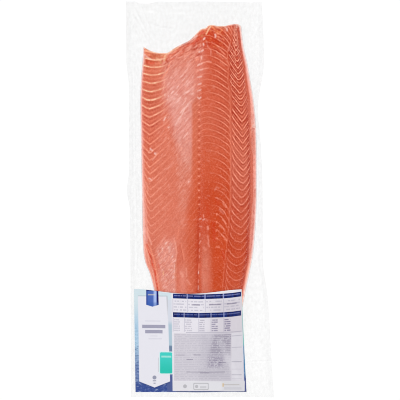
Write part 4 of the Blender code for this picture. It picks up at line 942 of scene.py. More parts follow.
# ================================================================ materials
class Val:
    """A number in a node tree, with arithmetic."""

    def __init__(self, tree, socket):
        self.t, self.s = tree, socket

    def op(self, kind, *others, clamp=False):
        n = self.t.nodes.new("ShaderNodeMath")
        n.operation = kind
        n.use_clamp = clamp
        for i, v in enumerate((self, *others)):
            if isinstance(v, Val):
                self.t.links.new(v.s, n.inputs[i])
            else:
                n.inputs[i].default_value = float(v)
        return Val(self.t, n.outputs[0])

    def _rev(self, kind, other):
        n = self.t.nodes.new("ShaderNodeMath")
        n.operation = kind
        n.inputs[0].default_value = float(other)
        self.t.links.new(self.s, n.inputs[1])
        return Val(self.t, n.outputs[0])

    def __add__(self, o): return self.op("ADD", o)
    def __radd__(self, o): return self.op("ADD", o)
    def __sub__(self, o): return self.op("SUBTRACT", o)
    def __rsub__(self, o): return self._rev("SUBTRACT", o)
    def __mul__(self, o): return self.op("MULTIPLY", o)
    def __rmul__(self, o): return self.op("MULTIPLY", o)
    def __truediv__(self, o): return self.op("DIVIDE", o)
    def __rtruediv__(self, o): return self._rev("DIVIDE", o)
    def __pow__(self, o): return self.op("POWER", o)
    def abs(self): return self.op("ABSOLUTE")
    def min(self, o): return self.op("MINIMUM", o)
    def max(self, o): return self.op("MAXIMUM", o)
    def frac(self): return self.op("FRACT")
    def floor(self): return self.op("FLOOR")
    def round(self): return self.op("ROUND")
    def sin(self): return self.op("SINE")
    def sqrt(self): return self.op("SQRT")

    def smooth(self, lo, hi, to0=0.0, to1=1.0):
        """Smooth step from to0 at lo to to1 at hi; falls if lo > hi."""
        if lo > hi:
            lo, hi, to0, to1 = hi, lo, to1, to0
        n = self.t.nodes.new("ShaderNodeMapRange")
        n.interpolation_type = "SMOOTHSTEP"
        self.t.links.new(self.s, n.inputs["Value"])
        n.inputs["From Min"].default_value = lo
        n.inputs["From Max"].default_value = hi
        n.inputs["To Min"].default_value = to0
        n.inputs["To Max"].default_value = to1
        return Val(self.t, n.outputs["Result"])

    def scale(self, lo, hi, to0, to1):
        n = self.t.nodes.new("ShaderNodeMapRange")
        n.clamp = True
        self.t.links.new(self.s, n.inputs["Value"])
        n.inputs["From Min"].default_value = lo
        n.inputs["From Max"].default_value = hi
        n.inputs["To Min"].default_value = to0
        n.inputs["To Max"].default_value = to1
        return Val(self.t, n.outputs["Result"])


class Paint:
    """A material under construction."""

    def __init__(self, name):
        self.mat = bpy.data.materials.new(name)
        self.mat.use_nodes = True
        self.t = self.mat.node_tree
        self.t.nodes.clear()
        self.out = self.t.nodes.new("ShaderNodeOutputMaterial")
        self.coord = self.t.nodes.new("ShaderNodeTexCoord").outputs["Object"]
        sep = self.t.nodes.new("ShaderNodeSeparateXYZ")
        self.t.links.new(self.coord, sep.inputs[0])
        self.x, self.y, self.z = (Val(self.t, s) for s in sep.outputs)
        self.u = self.x / PX + U0
        self.v = V0 - self.y / PX

    def attr(self, name, colour=False):
        n = self.t.nodes.new("ShaderNodeAttribute")
        n.attribute_name = name
        return n.outputs["Color"] if colour else Val(self.t, n.outputs["Fac"])

    def vec(self, x, y, z=0.0):
        n = self.t.nodes.new("ShaderNodeCombineXYZ")
        for i, v in enumerate((x, y, z)):
            if isinstance(v, Val):
                self.t.links.new(v.s, n.inputs[i])
            else:
                n.inputs[i].default_value = float(v)
        return n.outputs[0]

    def noise(self, vector=None, scale=1.0, detail=2.0, rough=0.5, distort=0.0):
        n = self.t.nodes.new("ShaderNodeTexNoise")
        self.t.links.new(vector if vector is not None else self.coord, n.inputs["Vector"])
        n.inputs["Scale"].default_value = scale
        n.inputs["Detail"].default_value = detail
        n.inputs["Roughness"].default_value = rough
        n.inputs["Distortion"].default_value = distort
        return Val(self.t, n.outputs["Fac"])

    def cells(self, vector, scale=1.0, feature="F1"):
        n = self.t.nodes.new("ShaderNodeTexVoronoi")
        n.feature = feature
        self.t.links.new(vector, n.inputs["Vector"])
        n.inputs["Scale"].default_value = scale
        return Val(self.t, n.outputs["Distance"])

    def mix(self, fac, a, b, blend="MIX"):
        """Colour a towards colour b."""
        n = self.t.nodes.new("ShaderNodeMix")
        n.data_type = "RGBA"
        n.blend_type = blend
        n.clamp_factor = True
        if isinstance(fac, Val):
            self.t.links.new(fac.s, n.inputs[0])
        else:
            n.inputs[0].default_value = fac
        for v, sock in ((a, n.inputs[6]), (b, n.inputs[7])):
            if isinstance(v, bpy.types.NodeSocket):
                self.t.links.new(v, sock)
            else:
                sock.default_value = (*[float(c) for c in v], 1.0)
        return n.outputs[2]

    def grey(self, value):
        """A grey colour from a number."""
        n = self.t.nodes.new("ShaderNodeCombineColor")
        for i in range(3):
            self.t.links.new(value.s, n.inputs[i])
        return n.outputs[0]

    def bump(self, height, distance, strength=1.0, normal=None):
        n = self.t.nodes.new("ShaderNodeBump")
        n.inputs["Strength"].default_value = strength
        n.inputs["Distance"].default_value = distance
        self.t.links.new(height.s, n.inputs["Height"])
        if normal is not None:
            self.t.links.new(normal, n.inputs["Normal"])
        return n.outputs[0]

    def principled(self, colour, rough, normal=None, **constants):
        n = self.t.nodes.new("ShaderNodeBsdfPrincipled")
        if isinstance(colour, bpy.types.NodeSocket):
            self.t.links.new(colour, n.inputs["Base Color"])
        else:
            n.inputs["Base Color"].default_value = (*colour, 1)
        if isinstance(rough, Val):
            self.t.links.new(rough.s, n.inputs["Roughness"])
        else:
            n.inputs["Roughness"].default_value = rough
        if normal is not None:
            self.t.links.new(normal, n.inputs["Normal"])
        for k, v in constants.items():
            n.inputs[k.replace("_", " ")].default_value = v
        self.t.links.new(n.outputs[0], self.out.inputs[0])
        return n

    # drawing on the label: masks in its own coordinates
    def rect(self, u, v, u0, u1, v0, v1, soft=0.22, corner=0.0):
        du = (u - (u0 + u1) / 2).abs() - ((u1 - u0) / 2 - corner)
        dv = (v - (v0 + v1) / 2).abs() - ((v1 - v0) / 2 - corner)
        if corner:
            d = (du.max(0.0) ** 2 + dv.max(0.0) ** 2).sqrt() - corner
        else:
            d = du.max(dv)
        return d.smooth(soft, -soft)

    def disc(self, u, v, cu, cv, r, soft=0.25):
        d = ((u - cu) ** 2 + (v - cv) ** 2).sqrt() - r
        return d.smooth(soft, -soft)


def flesh_material():
    p = Paint("raw_salmon_flesh")
    phase, grad = p.attr("phase"), p.attr("grad")
    strength, flank, cream = p.attr("strength"), p.attr("flank"), p.attr("cream")
    hatch, streaky, septum, seam, membrane = p.attr("hatch"), p.attr("streaky"), p.attr("septum"), p.attr("seam"), p.attr("membrane")
    base = p.attr("base", colour=True)
    u, v = p.u, p.v

    wobble = p.noise(p.vec(u, v), 0.16, 2.0) - 0.5
    ph = phase + wobble * 0.16
    broad = v.smooth(148, 188) * 0.18 + 1.0 + cream * 0.40 + u.smooth(174, 160) * v.smooth(60, 110) * v.smooth(250, 190) * 0.38
    signed = (ph - ph.round()) / grad / broad               # distance from the nearest sheet, + towards the tail
    thin = p.noise(p.vec(u, v, 7.0), 0.22, 2.0).scale(0.3, 0.7, 0.60, 1.22) * p.noise(p.vec(u, v, 17.0), 0.55, 2.0).scale(0.3, 0.7, 0.50, 1.46)
    line = signed.abs().smooth(0.76, 0.06) * strength * thin
    # painted shade: a darker band on each side of every sheet, stronger on the tail side
    below = ((signed - 1.35).abs()).smooth(1.15, 0.1) * flank * thin
    above = ((signed + 1.35).abs()).smooth(1.05, 0.1) * flank
    part = ph.frac()                                        # 0 just past one sheet, 1 at the next
    # painted light across each flake: lighter towards the next sheet
    col = p.mix(flank * part.smooth(0.25, 0.9) * 0.14, base, flesh(235, 124, 96))
    darker = p.mix(cream, flesh(160, 38, 20), flesh(178, 70, 42))
    col = p.mix((below * 0.92).min(0.92), col, darker)
    col = p.mix((above * 0.62).min(0.75), col, darker)

    # muscle fibres: fine streaks along the fish, and a finer grain over all
    fibre = p.noise(p.vec(u * 1.5 + phase * 0.8, v * 0.30), 1.0, 3.0, 0.6)
    col = p.mix(fibre.scale(0.38, 0.72, 0.0, 0.20), col, flesh(186, 56, 32))
    fleck = p.noise(p.vec(u, v, 3.0), 0.62, 3.0, 0.75)
    col = p.mix(fleck.scale(0.52, 0.72, 0.0, 0.34), col, flesh(246, 158, 134))
    col = p.mix(fleck.scale(0.48, 0.28, 0.0, 0.34), col, flesh(174, 50, 30))
    drift = p.noise(p.vec(u * 0.8, v * 0.5, 11.0), 0.12, 3.0)
    col = p.mix(drift.scale(0.35, 0.7, 0.0, 0.10), col, flesh(236, 140, 112))

    # slanting streaks of the flap and the membrane
    across_s, along_s = u * 0.74 + v * 0.67, u * 0.67 - v * 0.74
    slant = p.noise(p.vec(across_s * 0.50, along_s * 0.085, 5.0), 1.0, 2.0, 0.6)
    short = p.noise(p.vec(across_s * 0.62, along_s * 0.26, 15.0), 1.0, 2.0, 0.6)
    light = (slant.smooth(0.50, 0.66) * 0.40 + short.smooth(0.54, 0.70) * 0.36) * streaky
    shade = (slant.smooth(0.48, 0.32) * 0.34 + short.smooth(0.46, 0.30) * 0.22) * streaky
    pale_s = p.mix(membrane, flesh(240, 160, 140), flesh(248, 190, 178))
    col = p.mix(shade, col, flesh(202, 98, 74))
    col = p.mix(light, col, pale_s)

    pale = p.mix(cream, flesh(255, 168, 140), flesh(255, 208, 172))
    pale = p.mix(v.smooth(150, 190) * 0.55, pale, flesh(250, 164, 143))
    pale = p.mix(membrane * 0.8, pale, flesh(246, 186, 172))
    col = p.mix((line * 1.02).min(1.0), col, pale)
    half = (ph - ph.floor() - 0.5).abs() / grad
    some = p.noise(p.vec(u, v, 27.0), 0.30, 2.0).smooth(0.42, 0.60) * septum.smooth(0.0, 3.0) * v.smooth(210, 70) * strength
    col = p.mix((half - 1.0).abs().smooth(0.8, 0.1) * some * 0.40, col, darker)
    col = p.mix(half.smooth(0.65, 0.1) * some * 0.55, col, pale)

    # cross grain between the sheets on the back strip
    strip = septum.smooth(0.5, 3.0)
    cross = p.noise(p.vec((u + v * 0.8) * 0.8, (u * 0.8 - v) * 0.35, 21.0), 1.0, 2.0, 0.6)
    col = p.mix(cross.smooth(0.55, 0.72) * strip * 0.25, col, flesh(240, 140, 116))
    col = p.mix(cross.smooth(0.44, 0.30) * strip * 0.28, col, flesh(176, 54, 34))

    # the septum: a broken pale line with its shadow
    broken = p.noise(p.vec(u * 0.0, v * 0.22, 31.0), 1.0, 2.0).scale(0.35, 0.65, 0.15, 1.0)
    col = p.mix((septum - 1.3).abs().smooth(1.1, 0.1) * 0.50 * broken, col, flesh(176, 52, 30))
    col = p.mix((septum + 0.4).abs().smooth(0.9, 0.15) * thin * broken * 0.42, col, flesh(246, 150, 124))

    # the middle seam: darker towards the tail, with a row of pale bone ends
    low = v.smooth(196, 232)
    sway = (p.noise(p.vec(u * 0.0, v * 0.30, 43.0), 1.0, 2.0) - 0.5) * 2.4
    col = p.mix((seam + 1.4 + sway).abs().smooth(1.8, 0.1) * (low * 0.32 + 0.10), col, flesh(182, 54, 30))
    row = ((v - 106.0) / 7.05)
    jig = p.noise(p.vec(u * 0.0, row.round() * 3.7), 1.0, 0.0) - 0.5
    dv = (row - row.round()) * 7.05 + (seam + 0.6).abs() * 0.45
    dot = (((seam + 0.5 + jig * 1.4) / 1.75) ** 2 + (dv / 0.95) ** 2).sqrt().smooth(1.15, 0.35)
    dot = dot * v.smooth(101, 104) * v.smooth(214, 206) * jig.scale(-0.25, 0.25, 0.6, 1.0)
    gapd = (((seam + 0.3) / 1.5) ** 2 + (((row - row.floor()) - 0.5) * 7.05 / 1.5) ** 2).sqrt().smooth(1.2, 0.3)
    col = p.mix(gapd * v.smooth(101, 112) * v.smooth(220, 206) * 0.42, col, flesh(184, 60, 36))
    col = p.mix(dot * 0.85, col, flesh(248, 158, 132))

    # the scaly patch
    net = p.cells(p.vec(across_s * 0.50 + wobble * 1.5, along_s * 0.15, 2.0), 1.0, "DISTANCE_TO_EDGE")
    comb = p.noise(p.vec(across_s * 0.95, along_s * 0.16, 51.0), 1.0, 2.0, 0.6)
    col = p.mix(comb.smooth(0.54, 0.68) * hatch * 0.55, col, flesh(252, 200, 186))
    col = p.mix(comb.smooth(0.46, 0.32) * hatch * 0.40, col, flesh(200, 100, 78))
    col = p.mix(net.smooth(0.16, 0.03) * hatch * 0.25, col, flesh(196, 96, 76))
    col = p.mix(net.smooth(0.22, 0.42) * hatch * 0.36, col, flesh(251, 206, 196))

    skin = p.attr("skin").smooth(0.35, 0.65)
    scales = p.cells(p.vec(v * 1.0, p.z / PX * 1.3, u * 0.7), 1.15)
    silver = p.mix(scales.smooth(0.25, 0.75), (0.50, 0.50, 0.50), (0.16, 0.17, 0.18))
    col = p.mix(skin, col, silver)

    grain = p.noise(p.vec(u, v, 1.0), 1.3, 4.0, 0.6)
    rough = grain.scale(0.3, 0.7, 0.30, 0.46) + line * 0.06
    height = grain * 0.40 - line * 0.4 - septum.abs().smooth(1.2, 0.0) * 0.6 + fibre * 0.30
    normal = p.bump(height, 0.00012, 0.8)
    p.principled(col, rough, normal, IOR=1.38, Specular_IOR_Level=0.20)
    return p.mat


def skin_material():
    p = Paint("salmon_skin")
    across_ = p.attr("across")
    u, v = p.u, p.v
    cells = p.cells(p.vec(u * 1.0, v * 0.72), 1.15, "DISTANCE_TO_EDGE")
    scale = cells.smooth(0.02, 0.16)
    patch = p.noise(p.vec(u, v), 0.10, 3.0)
    dark = across_.smooth(0.45, 0.98) * 0.9 + patch.scale(0.35, 0.7, -0.08, 0.10)
    col = p.mix(dark, (0.62, 0.64, 0.65), (0.085, 0.105, 0.12))
    col = p.mix((1.0 - scale) * 0.5, col, (0.10, 0.115, 0.125))
    spots = p.noise(p.vec(u, v, 9.0), 0.55, 1.0)
    col = p.mix(spots.smooth(0.70, 0.74) * across_.smooth(0.5, 0.7), col, (0.02, 0.022, 0.025))
    col = p.mix(p.attr("lip") * 0.97, col, (0.96, 0.89, 0.87))
    rough = scale.scale(0, 1, 0.42, 0.24)
    normal = p.bump(scale + patch * 0.4, 0.00025, 0.7)
    p.principled(col, rough, normal, Metallic=0.35, IOR=1.4)
    return p.mat


def film_material(name, tint, fine):
    """One sheet of clear film: see-through, with a mirror that grows towards the edge of view."""
    p = Paint(name)
    t = p.t
    crease, rim = p.attr("crease"), p.attr("rim")
    u, v = p.u, p.v
    wave = p.noise(p.vec(u, v * 0.6), 0.35, 3.0, 0.55)
    small = p.noise(p.vec(u * 0.9, v * 1.1, 4.0), 1.1, 2.0, 0.5)
    height = wave * 1.2 + small * 0.22 + crease * 0.6
    normal = p.bump(height, fine, 0.8)
    # see-through tint of the film, darker along the crease field's painted shade and lighter on its painted highlights
    see_through_and_shade = crease.scale(-0.6, 0.6, 0.055, -0.085) + wave.scale(0.35, 0.65, -0.012, 0.012) + tint
    seal = rim.smooth(8.5, 7.5) * 0.012
    see_through_and_shade = (see_through_and_shade - seal).min(0.995)
    clear = t.nodes.new("ShaderNodeBsdfTransparent")
    t.links.new(p.grey(see_through_and_shade), clear.inputs["Color"])
    gloss = t.nodes.new("ShaderNodeBsdfGlossy")
    gloss.inputs["Color"].default_value = (1, 1, 1, 1)
    gl = small.scale(0.3, 0.7, 0.07, 0.13)
    t.links.new(gl.s, gloss.inputs["Roughness"])
    t.links.new(normal, gloss.inputs["Normal"])
    lw = t.nodes.new("ShaderNodeLayerWeight")
    lw.inputs["Blend"].default_value = 0.5
    t.links.new(normal, lw.inputs["Normal"])
    facing = Val(t, lw.outputs["Facing"])
    fac = (facing ** 10.0) * 0.42 + 0.011
    mix = t.nodes.new("ShaderNodeMixShader")
    t.links.new(fac.s, mix.inputs[0])
    t.links.new(clear.outputs[0], mix.inputs[1])
    t.links.new(gloss.outputs[0], mix.inputs[2])
    t.links.new(mix.outputs[0], p.out.inputs[0])
    return p.mat


def label_material():
    p = Paint("label_print")
    u, v, front = p.attr("lu"), p.attr("lv"), p.attr("front")

    def ink(*c):
        return tuple(float(k) for k in np.clip((linear(c) - 0.012) / 1.16, 0, 0.96))

    def rect(*a, **k):
        return p.rect(u, v, *a, **k)

    def words(u0, u1, v0, v1, pitch, thick, seed, cut=0.45):
        """Rows of plain grey bars of uneven length."""
        rowf = (v - v0) / pitch
        rows = (rowf.frac() - 0.5).abs().smooth(thick / pitch / 2 + 0.10, thick / pitch / 2 - 0.10)
        dash = p.noise(p.vec(u * 0.55, rowf.floor() * 5.3 + seed), 1.0, 1.0).smooth(cut - 0.03, cut + 0.03)
        return rect(u0, u1, v0, v1, soft=0.15) * rows * dash

    # sea: pale aqua above, blue below, with loose wave bands
    waves = p.noise(p.vec(u * 0.26, v * 0.62), 1.0, 3.0, 0.65)
    col = p.mix(v.smooth(300, 330), ink(208, 224, 230), ink(172, 203, 226))
    col = p.mix(v.smooth(340, 372), col, ink(112, 132, 178))
    col = p.mix(v.smooth(378, 386), col, ink(66, 86, 150))
    col = p.mix(waves.smooth(0.50, 0.66) * v.smooth(316, 350) * 0.62, col, ink(44, 66, 122))
    col = p.mix(waves.smooth(0.46, 0.34) * 0.35, col, ink(206, 222, 240))
    # the strip at the right edge of the print
    stripu = u - (v - 332.0) * 0.045
    edge = stripu.smooth(242.4, 242.9)
    strip = p.mix(v.smooth(344, 348), ink(112, 186, 178), ink(84, 134, 172))
    strip = p.mix(v.smooth(374, 379), strip, ink(28, 44, 120))
    col = p.mix(edge, col, strip)
    # the gap between the two panels
    gap = rect(167.2, 172.4, 300, 392)
    gcol = p.mix(v.smooth(320, 326), ink(212, 216, 227), ink(176, 198, 212))
    gcol = p.mix(v.smooth(344.5, 346.5), gcol, ink(112, 134, 160))
    gcol = p.mix(rect(160, 180, 351.5, 374), gcol, ink(150, 190, 220))
    gcol = p.mix(v.smooth(373, 376), gcol, ink(84, 98, 150))
    col = p.mix(gap, col, gcol)

    # top border of the print
    col = p.mix(v.smooth(293.5, 291.5) * u.smooth(160, 166), col, ink(240, 240, 242))

    # left banner, pointed at the bottom
    lean = (v - 297.0) * 0.03
    point = 381.0 + (1.0 - ((u - 154.6) / 16.2).abs()).max(0.0) * 6.4
    bl = (u - (138.0 + lean * 0.5)).smooth(-0.3, 0.3) * (u - (167.6 + lean)).smooth(0.3, -0.3)
    banner = bl * v.smooth(296.2, 296.9) * (v - point).smooth(0.35, -0.35)
    outline = bl * v.smooth(295.4, 295.9) * v.smooth(296.9, 296.4)
    shadeb = (v - point).smooth(2.6, 0.2) * bl * v.smooth(360, 380)
    col = p.mix(shadeb * 0.4, col, ink(34, 46, 104))
    col = p.mix(banner, col, ink(229, 228, 236))
    col = p.mix(outline * 0.35, col, ink(150, 160, 168))
    col = p.mix(banner * (u - (166.6 + lean)).smooth(-0.4, 0.3) * v.smooth(322, 300) * 0.5, col, ink(140, 145, 150))
    # ribbon
    tip = 305.0 + (1.0 - ((u - 152.4) / 6.6).abs()).max(0.0) * 1.9
    ribbon = u.smooth(145.9, 146.5) * (u - (158.4 + (v - 290) * 0.03)).smooth(0.3, -0.3) * (v - tip).smooth(0.3, -0.3)
    rib = p.mix(u.smooth(146.2, 148.6), ink(50, 72, 150), ink(74, 104, 182))
    rib = p.mix(u.smooth(152.6, 155.0) * u.smooth(157.4, 155.6), rib, ink(168, 190, 238))
    rib = p.mix(u.smooth(156.4, 157.2), rib, ink(8, 22, 96))
    rib = p.mix(v.smooth(291.6, 290.4), rib, ink(16, 34, 104))
    rib = p.mix(rect(148.0, 155.4, 294.2, 295.5) * 0.5, rib, ink(226, 218, 190))
    rib = p.mix(v.smooth(301, 304.5) * 0.5, rib, ink(52, 92, 170))
    col = p.mix(ribbon, col, rib)
    # two plain heading bars and faint lines under and over them
    head = rect(142.2, 165.4, 324.9, 328.3) + rect(145.2, 162.6, 330.0, 333.4)
    col = p.mix(head * 0.60, col, ink(80, 78, 126))
    faint = rect(145, 160.5, 320.7, 321.6) + rect(150.5, 157.5, 335.6, 336.4) + rect(148.5, 162.0, 338.4, 339.3)
    col = p.mix(faint * 0.25, col, ink(150, 148, 175))
    # plain turquoise square, a plain dot and two bars
    col = p.mix(rect(159.2, 173.4, 351.4, 374.2, corner=1.6), col, ink(214, 236, 238))
    sq = p.mix(v.smooth(353, 373), ink(70, 206, 196), ink(52, 194, 176))
    sq = p.mix(rect(161.4, 171.4, 355.6, 357.4) * 0.55, sq, ink(196, 240, 232))
    col = p.mix(rect(160.0, 172.4, 352.2, 373.4, corner=1.2), col, sq)
    col = p.mix(rect(158.0, 158.9, 357.5, 372.0) * 0.5, col, ink(180, 188, 192))
    icon = p.disc(u, v, 154.5, 377.4, 2.0) + rect(152.8, 156.2, 380.2, 381.2) + rect(153.6, 155.6, 382.6, 383.6)
    col = p.mix(icon * 0.75, col, ink(112, 118, 146))

    # right panel
    rl = (u - (171.6 + (v - 297) * 0.012)).smooth(-0.3, 0.3)
    rr = (u - (241.4 + (v - 292.0) * 0.030)).smooth(0.3, -0.3)
    panel = rl * rr * v.smooth(291.0, 291.6) * v.smooth(391.4, 390.6)
    pap = p.mix(p.noise(p.vec(u, v), 0.5, 2.0).scale(0.3, 0.7, 0.0, 0.35), ink(231, 228, 235), ink(222, 218, 227))
    pap = p.mix(u.smooth(196, 226) * v.smooth(292, 304) * 0.85, pap, ink(208, 202, 210))
    col = p.mix(panel, col, pap)
    # header bars
    def header(v0, v1, cuts, seed, light_k=0.55, cut_k=0.75):
        bar = rect(173.0, 241.0, v0, v1, soft=0.25)
        shade = p.mix(p.noise(p.vec(u * 0.3, seed), 1.0, 2.0).scale(0.35, 0.65, 0, 1), ink(6, 12, 74), ink(26, 52, 122))
        light = words(174.0, 239.5, v0 + 0.5, v0 + 3.4, 2.9, 1.0, seed, 0.42)
        shade = p.mix(light * light_k, shade, ink(150, 158, 214))
        for c in cuts:
            shade = p.mix((u - c).abs().smooth(0.8, 0.2) * cut_k, shade, ink(176, 184, 230))
        return bar, shade
    bar, shade = header(293.6, 298.4, (187.2, 205.0, 223.2), 2.0)
    col = p.mix(bar, col, shade)
    bar, shade = header(312.2, 317.2, (184.2, 198.8, 211.0, 223.8), 6.0, 0.34, 0.5)
    col = p.mix(bar, col, shade)
    # rows of small grey bars between them
    tcol = ink(150, 146, 170)
    for c0, c1, seed in ((173.6, 186.4, 1.0), (188.2, 203.8, 2.0), (206.0, 221.8, 3.0), (224.2, 239.8, 4.0)):
        col = p.mix(words(c0, c1, 299.6, 311.2, 2.9, 1.3, seed * 3.1, 0.47) * 0.42, col, tcol)
        col = p.mix((u - c0 + 0.7).abs().smooth(0.7, 0.1) * rect(170, 242, 299, 311.6) * 0.4, col, ink(160, 158, 182))
    for c0, c1 in ((191.6, 199.8), (209.0, 220.6), (226.6, 236.4)):
        col = p.mix(rect(c0, c1, 303.6, 304.9) * 0.6, col, ink(112, 104, 130))
    for c0, c1, k in ((173.8, 180.0, 0.30), (185.0, 192.0, 0.34), (199.4, 204.5, 0.45), (211.6, 217.6, 0.75), (224.4, 230.4, 0.85)):
        col = p.mix(words(c0, c1, 318.6, 331.2, 2.1, 1.3, c0, 0.40) * k, col, ink(132, 124, 152))
        col = p.mix((u - c0 + 0.6).abs().smooth(0.7, 0.1) * rect(170, 242, 318, 331.4) * 0.4, col, ink(150, 146, 172))
    col = p.mix(rect(186.0, 241.5, 331.7, 332.5) * 0.55, col, ink(150, 146, 168))
    # the densely printed field: a lilac grey of fine rows
    field = rect(174.0, 231.0, 333.2, 380.6, soft=0.5)
    col = p.mix(field * 0.92, col, ink(207, 203, 212))
    col = p.mix(rect(200.0, 231.0, 333.2, 380.6, soft=6.0) * 0.5, col, ink(190, 186, 197))
    col = p.mix(words(174.5, 230.5, 333.6, 380.4, 1.75, 0.9, 20.0, 0.44) * 0.20, col, ink(138, 132, 156))
    speck = p.noise(p.vec(u, v, 2.0), 0.85, 2.0, 0.7)
    lean_u = u + (v - 345.0) * 0.22
    heavy = p.rect(lean_u, v, 211.5, 231.0, 333.6, 354.0, soft=3.5) * field * (speck.smooth(0.36, 0.60) * 0.35 + words(205.0, 231.0, 333.8, 356.0, 1.75, 1.15, 31.0, 0.40) * 0.75)
    col = p.mix(heavy.min(0.8) * 0.72, col, ink(126, 118, 140))
    col = p.mix(rect(208.0, 223.0, 355.5, 367.0, soft=2.5) * (speck.smooth(0.44, 0.64) * 0.3 + words(204.0, 226.0, 354.0, 368.0, 1.75, 1.1, 37.0, 0.44) * 0.55), col, ink(130, 121, 146))
    for u0, u1, v0, k in ((193.5, 200.6, 354.5, 0.55), (186.5, 193.0, 359.2, 0.6), (186.5, 225.0, 371.8, 0.5), (200.0, 209.0, 372.6, 0.45), (176.0, 184.5, 354.8, 0.35), (219.0, 225.8, 362.0, 0.5)):
        col = p.mix(rect(u0, u1, v0 - 0.45, v0 + 0.45) * k, col, ink(118, 110, 134))
    # the paler column at the right
    col = p.mix(rect(231.4, 243.6, 333.2, 380.6, soft=0.4) * rr, col, ink(216, 213, 221))
    glare = (u - 222.0 - (v - 345.0) * 0.47).abs().smooth(5.2, 0.8) * rect(214, 240, 338, 380, soft=3.0)
    col = p.mix(glare * 0.22, col, ink(236, 234, 240))
    for v0, k in ((336.0, 0.45), (347.3, 0.4), (361.6, 0.6), (369.0, 0.2), (374.7, 0.5), (378.6, 0.2)):
        col = p.mix(rect(231.6, 241.6, v0 - 0.4, v0 + 0.4) * k, col, ink(140, 136, 156))
    # foot of the panel: plain shapes only
    col = p.mix(rect(172.4, 244.6, 381.2, 390.6, soft=0.4) * rl, col, ink(224, 223, 228))
    col = p.mix(rect(222.0, 244.6, 381.2, 390.6, soft=2.0) * 0.6, col, ink(208, 207, 213))
    col = p.mix(p.disc(u, v, 185.0, 386.2, 1.9) * 0.55, col, ink(140, 140, 146))
    box = rect(193.4, 208.6, 382.8, 389.8, corner=1.0) * (1.0 - rect(194.2, 207.8, 383.6, 389.0, corner=0.8))
    col = p.mix(box * 0.6, col, ink(150, 150, 156))
    col = p.mix((p.disc(u, v, 196.6, 386.4, 1.6) + rect(200.0, 206.4, 386.0, 388.2) * 0.6) * 0.55, col, ink(150, 150, 156))
    col = p.mix(rect(222.4, 223.8, 383.2, 386.6) * 0.7, col, ink(214, 180, 110))
    col = p.mix(rect(223.6, 239.4, 384.2, 385.1) * 0.55, col, ink(168, 160, 150))
    col = p.mix(rect(224.0, 241.6, 387.0, 389.6) * 0.16, col, ink(140, 136, 156))
    # dark line along the bottom cut, and the plain paper back
    col = p.mix(rect(176.0, 247.0, 391.2, 392.2) * 0.7, col, ink(66, 72, 100))
    col = p.mix(front.smooth(0.6, 0.4), col, ink(238, 238, 238))

    fine = p.noise(p.vec(u, v), 2.2, 3.0)
    rough = fine.scale(0.3, 0.7, 0.34, 0.46)
    normal = p.bump(fine + p.noise(p.vec(u, v, 5.0), 0.16, 2.0) * 2.0, 0.00006, 0.6)
    p.principled(col, rough, normal, IOR=1.45, Specular_IOR_Level=0.35)
    return p.mat


def floor_material():
    p = Paint("pale_floor")
    grain = p.noise(p.coord, 30.0, 2.0)
    col = p.mix(grain, (0.12, 0.12, 0.12), (0.125, 0.125, 0.125))
    n = p.principled(col, 0.9, None, Specular_IOR_Level=0.0)
    n.inputs["Emission Color"].default_value = (1, 1, 1, 1)
    n.inputs["Emission Strength"].default_value = FLOOR_GLOW
    return p.mat


# ================================================================ stage
FLOOR_GLOW = 0.885


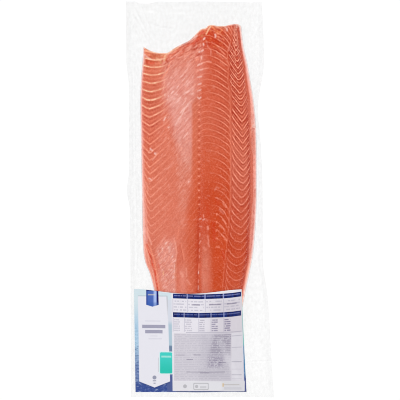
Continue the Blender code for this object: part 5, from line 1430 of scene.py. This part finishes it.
def build_stage():
    scene = bpy.context.scene
    scene.view_settings.view_transform = "Standard"
    scene.view_settings.look = "None"
    scene.view_settings.exposure = 0.0
    scene.view_settings.gamma = 1.0
    scene.cycles.filter_width = 1.0

    world = bpy.data.worlds.new("soft_studio")
    scene.world = world
    world.use_nodes = True
    t = world.node_tree
    t.nodes.clear()
    out = t.nodes.new("ShaderNodeOutputWorld")
    back = t.nodes.new("ShaderNodeBackground")
    coord = t.nodes.new("ShaderNodeTexCoord")
    sep = t.nodes.new("ShaderNodeSeparateXYZ")
    t.links.new(coord.outputs["Generated"], sep.inputs[0])
    curve = t.nodes.new("ShaderNodeFloatCurve")
    t.links.new(sep.outputs[2], curve.inputs["Value"])
    c = curve.mapping.curves[0]
    pts = [(0.0, 0.74), (0.2, 0.95), (0.4, 1.0), (0.75, 0.78), (0.9, 0.28), (1.0, 0.10)]
    c.points[0].location = pts[0]
    c.points[1].location = pts[-1]
    for x, y in pts[1:-1]:
        c.points.new(x, y)
    curve.mapping.update()
    t.links.new(curve.outputs[0], back.inputs["Color"])
    back.inputs["Strength"].default_value = 1.36
    t.links.new(back.outputs[0], out.inputs[0])

    mesh = bpy.data.meshes.new("floor")
    s = 40.0
    mesh.from_pydata([(-s, -s, 0), (s, -s, 0), (s, s, 0), (-s, s, 0)], [], [[0, 1, 2, 3]])
    floor = bpy.data.objects.new("floor", mesh)
    scene.collection.objects.link(floor)
    mesh.materials.append(floor_material())

    def lamp(name, at, size, power):
        data = bpy.data.lights.new(name, "AREA")
        data.shape = "DISK"
        data.size = size
        data.energy = power
        obj = bpy.data.objects.new(name, data)
        scene.collection.objects.link(obj)
        obj.location = at
        obj.visible_glossy = False
        obj.rotation_mode = "QUATERNION"
        obj.rotation_quaternion = (-Vector(at)).to_track_quat("-Z", "Y")

    lamp("key_light", (-1.35, 1.15, 2.2), 0.7, 19.0)
    lamp("fill_light", (1.6, -0.5, 2.1), 0.8, 10.0)

    cam = bpy.data.cameras.new("camera")
    cam.sensor_width = 36.0
    cam.lens = 200.0
    cam.clip_start, cam.clip_end = 0.05, 100.0
    obj = bpy.data.objects.new("camera", cam)
    scene.collection.objects.link(obj)
    obj.location = (0.0, -0.000875, 0.7 / (36.0 / 200.0))
    obj.rotation_euler = (0.0, 0.0, 0.0)
    scene.camera = obj


# ================================================================ build
build_stage()

flesh_piece = build_flesh()
flesh_piece.data.materials.append(flesh_material())
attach(flesh_piece, "root")
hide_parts("sealed_pouch")

skin_piece = build_skin()
skin_piece.data.materials.append(skin_material())
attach(skin_piece, "root")

film_top = build_film_top()
film_top.data.materials.append(film_material("clear_film_top", 0.985, 0.0004))
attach(film_top, "root")
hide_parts("sealed_pouch")

film_bottom = build_film_bottom()
film_bottom.data.materials.append(film_material("clear_film_bottom", 0.994, 0.0002))
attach(film_bottom, "root")

label_piece = build_label()
label_piece.data.materials.append(label_material())
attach(label_piece, "root")
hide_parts("label")

bpy.context.view_layer.update()
